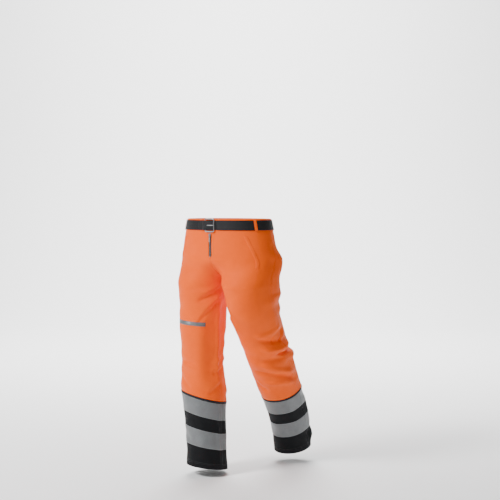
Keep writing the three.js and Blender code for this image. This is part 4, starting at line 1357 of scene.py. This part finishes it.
class LEGWEAR_OT_pockets(bpy.types.Operator):
    """Slanted hand pockets with welts, and a back pocket with a press-stud flap"""

    bl_idname = "legwear.pockets"
    bl_label = "Pockets"

    def execute(self, context):
        for leg in LEGS:
            s = leg.name
            share = np.linspace(0, 1, 60)[:, None]
            side = np.linspace(0, 1, 11)[None, :]
            down = HAND_POCKET_TOP + HAND_POCKET_LENGTH * share + 0 * side
            u = HAND_POCKET_SIDE + 0.03 * side + HAND_POCKET_SLANT * share
            edge = np.minimum(
                smooth(np.minimum(side, 1 - side) * 8 + 0.1), smooth(np.minimum(share, 1 - share) * 40 + 0.1)
            )
            points = worn(leg, down, u, 0.2 * MM + 1.5 * MM * edge)
            uv = np.stack([u * NOMINAL_GIRTH, -down], -1)
            outward = worn(leg, down, u, 2 * MM) - worn(leg, down, u, 0.0)
            welt = grid(f"hand_pocket_edge_{s}", points, uv, cloth_material("orange"), outward=outward)
            thicken(welt, 1.2 * MM)
            bag_down = spread(*HAND_BAG_ROWS, 5 * MM)
            bag = cloth_grid(
                f"hand_pocket_bag_cloth_{s}",
                leg,
                bag_down,
                spread(*HAND_BAG_SIDES, 0.01),
                -5.2 * MM,
                cloth_material("lining"),
            )
            thicken(bag, 0.8 * MM)
            for obj, slot, node in (
                (welt, "orange_cloth", f"hand_pocket_welt_{s}"), (bag, "lining", f"hand_pocket_bag_{s}")
            ):
                bend_at_hip(obj, leg)
                mark(obj, slot, node)
        pocket = patch(
            "back_pocket_cloth",
            BACK_POCKET_ROWS,
            POCKET_SWEEP,
            1.0 * MM,
            "orange",
            0.9 * MM,
            point=0.006,
            sag=1.2 * MM,
            on_cloth=True,
        )
        ride(pocket, "hips", "orange_cloth", "back_pocket_patch")
        wide = math.radians(1.4)
        sweep = (POCKET_SWEEP[0] - wide, POCKET_SWEEP[1] + wide)
        flap = patch(
            "back_pocket_flap_cloth",
            BACK_FLAP_ROWS,
            sweep,
            4.4 * MM,
            "orange",
            1.4 * MM,
            point=0.010,
            rows=16,
        )
        ride(flap, "back_pocket_flap", "orange_cloth", "back_pocket_flap")
        stud = self.stud()
        ride(stud, "back_pocket_flap", "steel", "back_pocket_stud")
        return {"FINISHED"}

    def stud(self):
        """A press-stud cap: a dome with a rolled rim and a dimple, turned about the pocket's outward line."""
        _, _, centre, _ = node_box("back_pocket_stud")
        middle = (POCKET_SWEEP[0] + POCKET_SWEEP[1]) / 2
        base = hip_outline(np.array(0.103), np.array(middle), np.array(0.0))
        out = hip_outline(np.array(0.103), np.array(middle), np.array(0.01)) - base
        out = unit(out)
        side = unit(np.cross(out, [0, 0, 1.0]))
        up = np.cross(side, out)
        r = np.array([0.0, 0.18, 0.4, 0.55, 0.72, 0.88, 0.97, 1.0, 0.97, 0.85, 0.0]) * 6.4 * MM
        h = np.array([0.55, 0.6, 0.75, 0.9, 0.98, 0.92, 0.7, 0.4, 0.1, 0.0, 0.0]) * 2.2 * MM - 1.1 * MM
        turn = np.linspace(0, 2 * np.pi, 32, endpoint=False)
        ring = np.cos(turn)[None, :, None] * side + np.sin(turn)[None, :, None] * up
        points = centre + r[:, None, None] * ring + h[:, None, None] * out
        uv = np.zeros((*points.shape[:2], 2))
        obj = grid(
            "press_stud",
            points,
            uv,
            cloth_material("steel"),
            wrap=True,
            outward=np.broadcast_to(out, points.shape),
        )
        return faced_out(merged(obj, 0.00005))


class LEGWEAR_OT_stitching(bpy.types.Operator):
    """Topstitching along every seam, the bands, the hems and the pockets"""

    bl_idname = "legwear.stitching"
    bl_label = "Stitching"

    def execute(self, context):
        for leg in LEGS:
            s = leg.name
            split = SPLIT[s]
            upper_out = spread(0.052, split, 4 * MM)
            rise = spread(0.052, CROTCH_DOWN - 4 * MM, 3 * MM)
            upper_in = spread(CROTCH_DOWN, split, 4 * MM)
            lines = [line_on(leg, upper_out, beside(0.5, d * MM)) for d in SEAM_ROWS]
            lines += [line_on(leg, rise, beside(0.0, 4.0 * MM)), line_on(leg, rise, beside(1.0, -4.0 * MM))]
            if leg is LEFT:
                lines += [
                    line_on(leg, rise, beside(0.0, 9.5 * MM)), line_on(leg, rise, beside(1.0, -9.5 * MM))
                ]
            lines += [line_on(leg, upper_in, beside(0.0, d * MM)) for d in SEAM_ROWS]
            obj = stitches(f"upper_stitching_{s}", lines, "orange_thread")
            bend_at_hip(obj, leg)
            lower = spread(split, leg.cuff_top - 3 * MM, 4 * MM)
            lines = [line_on(leg, lower, beside(seam, d * MM)) for seam in (0.0, 0.5) for d in SEAM_ROWS]
            obj = stitches(f"lower_stitching_{s}", lines, "orange_thread")
            bend_at_knee(obj, leg)
            us = np.linspace(0, 1, 400)
            lines = [line_on(leg, leg.hem - 22 * MM, us), line_on(leg, leg.hem - 16 * MM, us)]
            lines += [line_on(leg, leg.cuff_top + BINDING_WIDTH - 2.5 * MM, us, 1.3 * MM)]
            dark = spread(leg.cuff_top + BINDING_WIDTH, leg.hem - 2 * MM, 4 * MM)
            gaps = [d for d in dark if not any(a - 2 * MM < d < b + 2 * MM for a, b in leg.tapes)]
            runs = np.split(np.array(gaps), np.where(np.diff(gaps) > 6 * MM)[0] + 1)
            lines += [
                line_on(leg, run, beside(0.5, d * MM))
                for run in runs if len(run) > 1 for d in SEAM_ROWS
            ]
            obj = stitches(f"cuff_stitching_{s}", lines, "black_thread")
            ride(obj, f"{s}_shin", "binding")
            lines = []
            for lo, hi in leg.tapes:
                lines += [
                    line_on(leg, lo + 2.2 * MM, us, 0.5 * MM), line_on(leg, hi - 2.2 * MM, us, 0.5 * MM)
                ]
            obj = stitches(f"tape_stitching_{s}", lines, "grey_thread")
            ride(obj, f"{s}_shin", "reflective")
            self.pocket(leg)
        self.waist()
        return {"FINISHED"}

    def pocket(self, leg):
        """Two rows of stitches down a hand pocket's welt."""
        share = np.linspace(0, 1, 80)
        down = HAND_POCKET_TOP + HAND_POCKET_LENGTH * share
        u = HAND_POCKET_SIDE + HAND_POCKET_SLANT * share
        lines = [line_on(leg, down, u + d, 1.6 * MM) for d in (0.006, 0.024)]
        obj = stitches(f"pocket_stitching_{leg.name}", lines, "orange_thread")
        bend_at_hip(obj, leg)

    def waist(self):
        """Two rows round the waistband, one round the back pocket and one round its flap."""
        angles = np.linspace(0, 2 * np.pi, 500)
        lines = []
        for down in (0.0022, 0.0456):
            points = hip_outline(np.full(500, down), angles, np.zeros(500))
            lines.append((points, points * np.array([1, 1, 0])))
        obj = stitches("waist_stitching", lines, "orange_thread")
        ride(obj, "hips", "orange_cloth")
        lo, hi = POCKET_SWEEP
        inset = 0.02
        run = [np.full(30, lo + inset), np.linspace(lo + inset, hi - inset, 60), np.full(30, hi - inset)]
        drop = [
            np.linspace(0.090, 0.147, 30),
            0.147 + 0.005 * (1 - np.abs(np.linspace(-1, 1, 60))),
            np.linspace(0.147, 0.090, 30),
        ]
        angle, down = np.concatenate(run), np.concatenate(drop)
        lines = [line_on(RIGHT, down, -angle / np.pi, 1.5 * MM)]
        obj = stitches("back_pocket_stitching", lines, "orange_thread")
        ride(obj, "hips", "orange_cloth")
        run = [np.full(20, lo), np.linspace(lo, hi, 60), np.full(20, hi)]
        drop = [
            np.linspace(0.075, 0.103, 20),
            0.103 + 0.0095 * (1 - np.abs(np.linspace(-1, 1, 60))),
            np.linspace(0.103, 0.075, 20),
        ]
        angle, down = np.concatenate(run), np.concatenate(drop)
        points = hip_outline(down, angle, np.full(len(down), 5.0 * MM))
        obj = stitches("flap_stitching", [(points, points * np.array([1, 1, 0]))], "orange_thread")
        ride(obj, "back_pocket_flap", "orange_cloth")


# The studio's paper, in metres from the object: its near end, where it starts to curve up, the curve's
# radius, the wall's height and half the paper's width.
PAPER_NEAR, PAPER_FLAT, PAPER_CURVE, PAPER_HEIGHT, PAPER_HALF_WIDTH = 9.0, 5.0, 2.5, 8.0, 14


class LEGWEAR_OT_stage(bpy.types.Operator):
    """Pale floor, soft studio lights and the camera"""

    bl_idname = "legwear.stage"
    bl_label = "Stage"

    def execute(self, context):
        settings = context.scene.leg_wear_stage
        drop = settings.floor_drop
        # A floor that curves up into a far wall: flat, then a quarter circle, then upright.
        turn = np.linspace(0, np.pi / 2, 24)
        wall = PAPER_FLAT + PAPER_CURVE
        run = np.concatenate([[-PAPER_NEAR], PAPER_FLAT + PAPER_CURVE * np.sin(turn), [wall]])
        rise = np.concatenate([[0.0], PAPER_CURVE * (1 - np.cos(turn)), [PAPER_HEIGHT]])
        azimuth = math.radians(settings.azimuth)
        ahead = np.array([-math.sin(azimuth), math.cos(azimuth)])
        right = np.array([math.cos(azimuth), math.sin(azimuth)])
        across = np.linspace(-PAPER_HALF_WIDTH, PAPER_HALF_WIDTH, 5)
        points = np.zeros((len(run), 5, 3))
        points[..., :2] = run[:, None, None] * ahead + across[None, :, None] * right
        points[..., 2] = rise[:, None] - drop
        uv = np.zeros((len(run), 5, 2))
        n = Nodes("studio_paper")
        place = n.add("ShaderNodeTexCoord").outputs["Object"]
        grain = n.texture("Noise", place, Scale=60.0, Detail=3.0)
        base = n.mix(grain, rgba(settings.floor_colour, 0.985), rgba(settings.floor_colour, 1.0))
        paper = n.set(Base_Color=base, Roughness=0.85, Specular_IOR_Level=0.1)
        floor = grid(
            "studio_floor", points, uv, paper, outward=np.broadcast_to([0.0, 0.0, 1.0], points.shape)
        )
        self.lights(settings, ahead, right)
        self.world(settings)
        self.camera(context, settings, ahead, right)
        return {"FINISHED"}

    def area(self, name, place, target, size, power):
        """A disc light at a place, turned towards its target."""
        light = bpy.data.lights.new(name, "AREA")
        light.shape, light.size, light.energy = "DISK", size, power
        obj = bpy.data.objects.new(name, light)
        obj.location = place
        obj.rotation_euler = (Vector(target) - Vector(place)).to_track_quat("-Z", "Y").to_euler()
        bpy.context.scene.collection.objects.link(obj)

    def lights(self, settings, ahead, right):
        """Key from the left, fill from the right, one on the far wall and one overhead."""

        def at(r, d, z):
            """A place r to the right, d towards the camera and z up."""
            spot = right * r - ahead * d
            return (float(spot[0]), float(spot[1]), z)

        target = (0.0, 0.05, -0.6)
        self.area("key_light", at(-2.9, 2.2, 2.4), target, 1.3, settings.key_power)
        self.area("fill_light", at(2.8, 2.4, 0.8), target, 2.4, settings.fill_power)
        self.area("backdrop_light", at(0.0, -3.4, 3.4), at(0.0, -6.5, -1.0), 3.5, settings.back_power)
        self.area("top_light", at(0.2, -0.8, 3.2), target, 2.6, settings.top_power)

    def world(self, settings):
        """Even white light from all round."""
        world = bpy.data.worlds.new("studio")
        world.use_nodes = True
        back = world.node_tree.nodes["Background"]
        back.inputs["Color"].default_value = (1, 1, 1, 1)
        back.inputs["Strength"].default_value = settings.world_strength
        bpy.context.scene.world = world

    def camera(self, context, settings, ahead, right):
        """Level right, a fixed distance back and a little to the side, tilted down."""
        data = bpy.data.cameras.new("camera")
        data.sensor_width = 36
        data.lens = settings.lens
        data.clip_end = 60
        obj = bpy.data.objects.new("camera", data)
        spot = -settings.distance * ahead + settings.side_shift * right
        obj.location = (float(spot[0]), float(spot[1]), settings.camera_rise)
        tilt = math.radians(settings.tilt_down)
        look = Vector((float(ahead[0]) * math.cos(tilt), float(ahead[1]) * math.cos(tilt), -math.sin(tilt)))
        obj.rotation_euler = look.to_track_quat("-Z", "Y").to_euler()
        context.scene.collection.objects.link(obj)
        context.scene.camera = obj


# ---- settings ----
def number(name, description, default, unit="NONE", **limits):
    """A number in the panel."""
    return FloatProperty(name=name, description=description, default=default, unit=unit, **limits)


def colour(name, description, default):
    """A colour in the panel."""
    return FloatVectorProperty(
        name=name, description=description, default=default, subtype="COLOR", min=0, max=1
    )


class LegWearCloth(bpy.types.PropertyGroup):
    """How the cloth is sampled and how deep its folds are"""

    grid_step: number("Grid step", "Spacing of the cloth's grid", 0.0032, "LENGTH", min=0.001)
    fold_strength: number("Fold strength", "Multiplies the depth of every fold", 1.0, min=0.0, max=2.0)


class LegWearColours(bpy.types.PropertyGroup):
    """Colours of the cloth, tape and metal"""

    orange: colour("Orange cloth", "High-visibility cloth", (1.0, 0.115, 0.0))
    charcoal: colour("Cuff cloth", "Hard-wearing cloth of the cuffs", (0.007, 0.0073, 0.008))
    black: colour("Black trim", "Binding, belt and zip tape", (0.006, 0.006, 0.0065))
    reflective: colour("Reflective tape", "Bands round the cuffs", (0.14, 0.15, 0.155))
    quilt: colour("Quilt", "Cover of the cut-protection pads", (0.62, 0.58, 0.44))
    lining: colour("Lining", "Mesh lining and pocket bags", (0.045, 0.048, 0.053))
    steel: colour("Steel", "Buckle, zip and press stud", (0.42, 0.42, 0.43))


class LegWearStage(bpy.types.PropertyGroup):
    """Floor, lights and camera"""

    azimuth: number("Azimuth", "Camera's angle round the object, degrees", 33.0)
    distance: number("Distance", "Camera's level distance", 4.5, "LENGTH")
    side_shift: number("Side shift", "Camera's shift to its right", 0.083, "LENGTH")
    camera_rise: number("Camera rise", "Camera's height above the waist rim", 0.08, "LENGTH")
    tilt_down: number("Tilt down", "Camera's tilt below level, degrees", 2.6)
    lens: number("Lens", "Focal length in millimetres", 82.0)
    floor_drop: number("Floor drop", "Floor's distance below the waist rim", 1.032, "LENGTH")
    floor_colour: colour("Floor", "Studio paper", (0.93, 0.93, 0.93))
    key_power: number("Key light", "Power of the key light", 280.0, "POWER")
    fill_power: number("Fill light", "Power of the fill light", 8.0, "POWER")
    top_power: number("Top light", "Power of the top light", 35.0, "POWER")
    back_power: number("Backdrop light", "Power of the light on the paper behind", 900.0, "POWER")
    world_strength: number("World", "Strength of the surrounding light", 0.26)


OPERATORS = (
    LEGWEAR_OT_upper_legs,
    LEGWEAR_OT_lower_legs,
    LEGWEAR_OT_gusset,
    LEGWEAR_OT_cuffs,
    LEGWEAR_OT_trim,
    LEGWEAR_OT_pads,
    LEGWEAR_OT_linings,
    LEGWEAR_OT_waist,
    LEGWEAR_OT_buckle,
    LEGWEAR_OT_fly,
    LEGWEAR_OT_pockets,
    LEGWEAR_OT_stitching,
    LEGWEAR_OT_stage,
)


class LEGWEAR_PT_panel(bpy.types.Panel):
    """Lists the settings and one button for each group of pieces"""

    bl_idname = "LEGWEAR_PT_panel"
    bl_label = "Leg wear"
    bl_space_type = "VIEW_3D"
    bl_region_type = "UI"
    bl_category = "Leg wear"

    def draw(self, context):
        scene = context.scene
        for group in (scene.leg_wear_cloth, scene.leg_wear_colours, scene.leg_wear_stage):
            box = self.layout.box()
            for key in group.bl_rna.properties.keys():
                if key not in ("rna_type", "name"):
                    box.prop(group, key)
        for operator in OPERATORS:
            self.layout.operator(operator.bl_idname)


CLASSES = (LegWearCloth, LegWearColours, LegWearStage, *OPERATORS, LEGWEAR_PT_panel)


def register():
    """Adds the classes, and their settings to the scene."""
    for cls in CLASSES:
        bpy.utils.register_class(cls)
    bpy.types.Scene.leg_wear_cloth = PointerProperty(type=LegWearCloth)
    bpy.types.Scene.leg_wear_colours = PointerProperty(type=LegWearColours)
    bpy.types.Scene.leg_wear_stage = PointerProperty(type=LegWearStage)


def unregister():
    """Takes the settings and the classes away again."""
    del bpy.types.Scene.leg_wear_stage
    del bpy.types.Scene.leg_wear_colours
    del bpy.types.Scene.leg_wear_cloth
    for cls in reversed(CLASSES):
        bpy.utils.unregister_class(cls)


def main():
    """Makes every group of pieces in order."""
    register()
    for operator in OPERATORS:
        group, name = operator.bl_idname.split(".")
        result = getattr(getattr(bpy.ops, group), name)()
        if result != {"FINISHED"}:
            raise RuntimeError(f"{operator.bl_idname} did not finish")


if __name__ == "__main__":
    main()
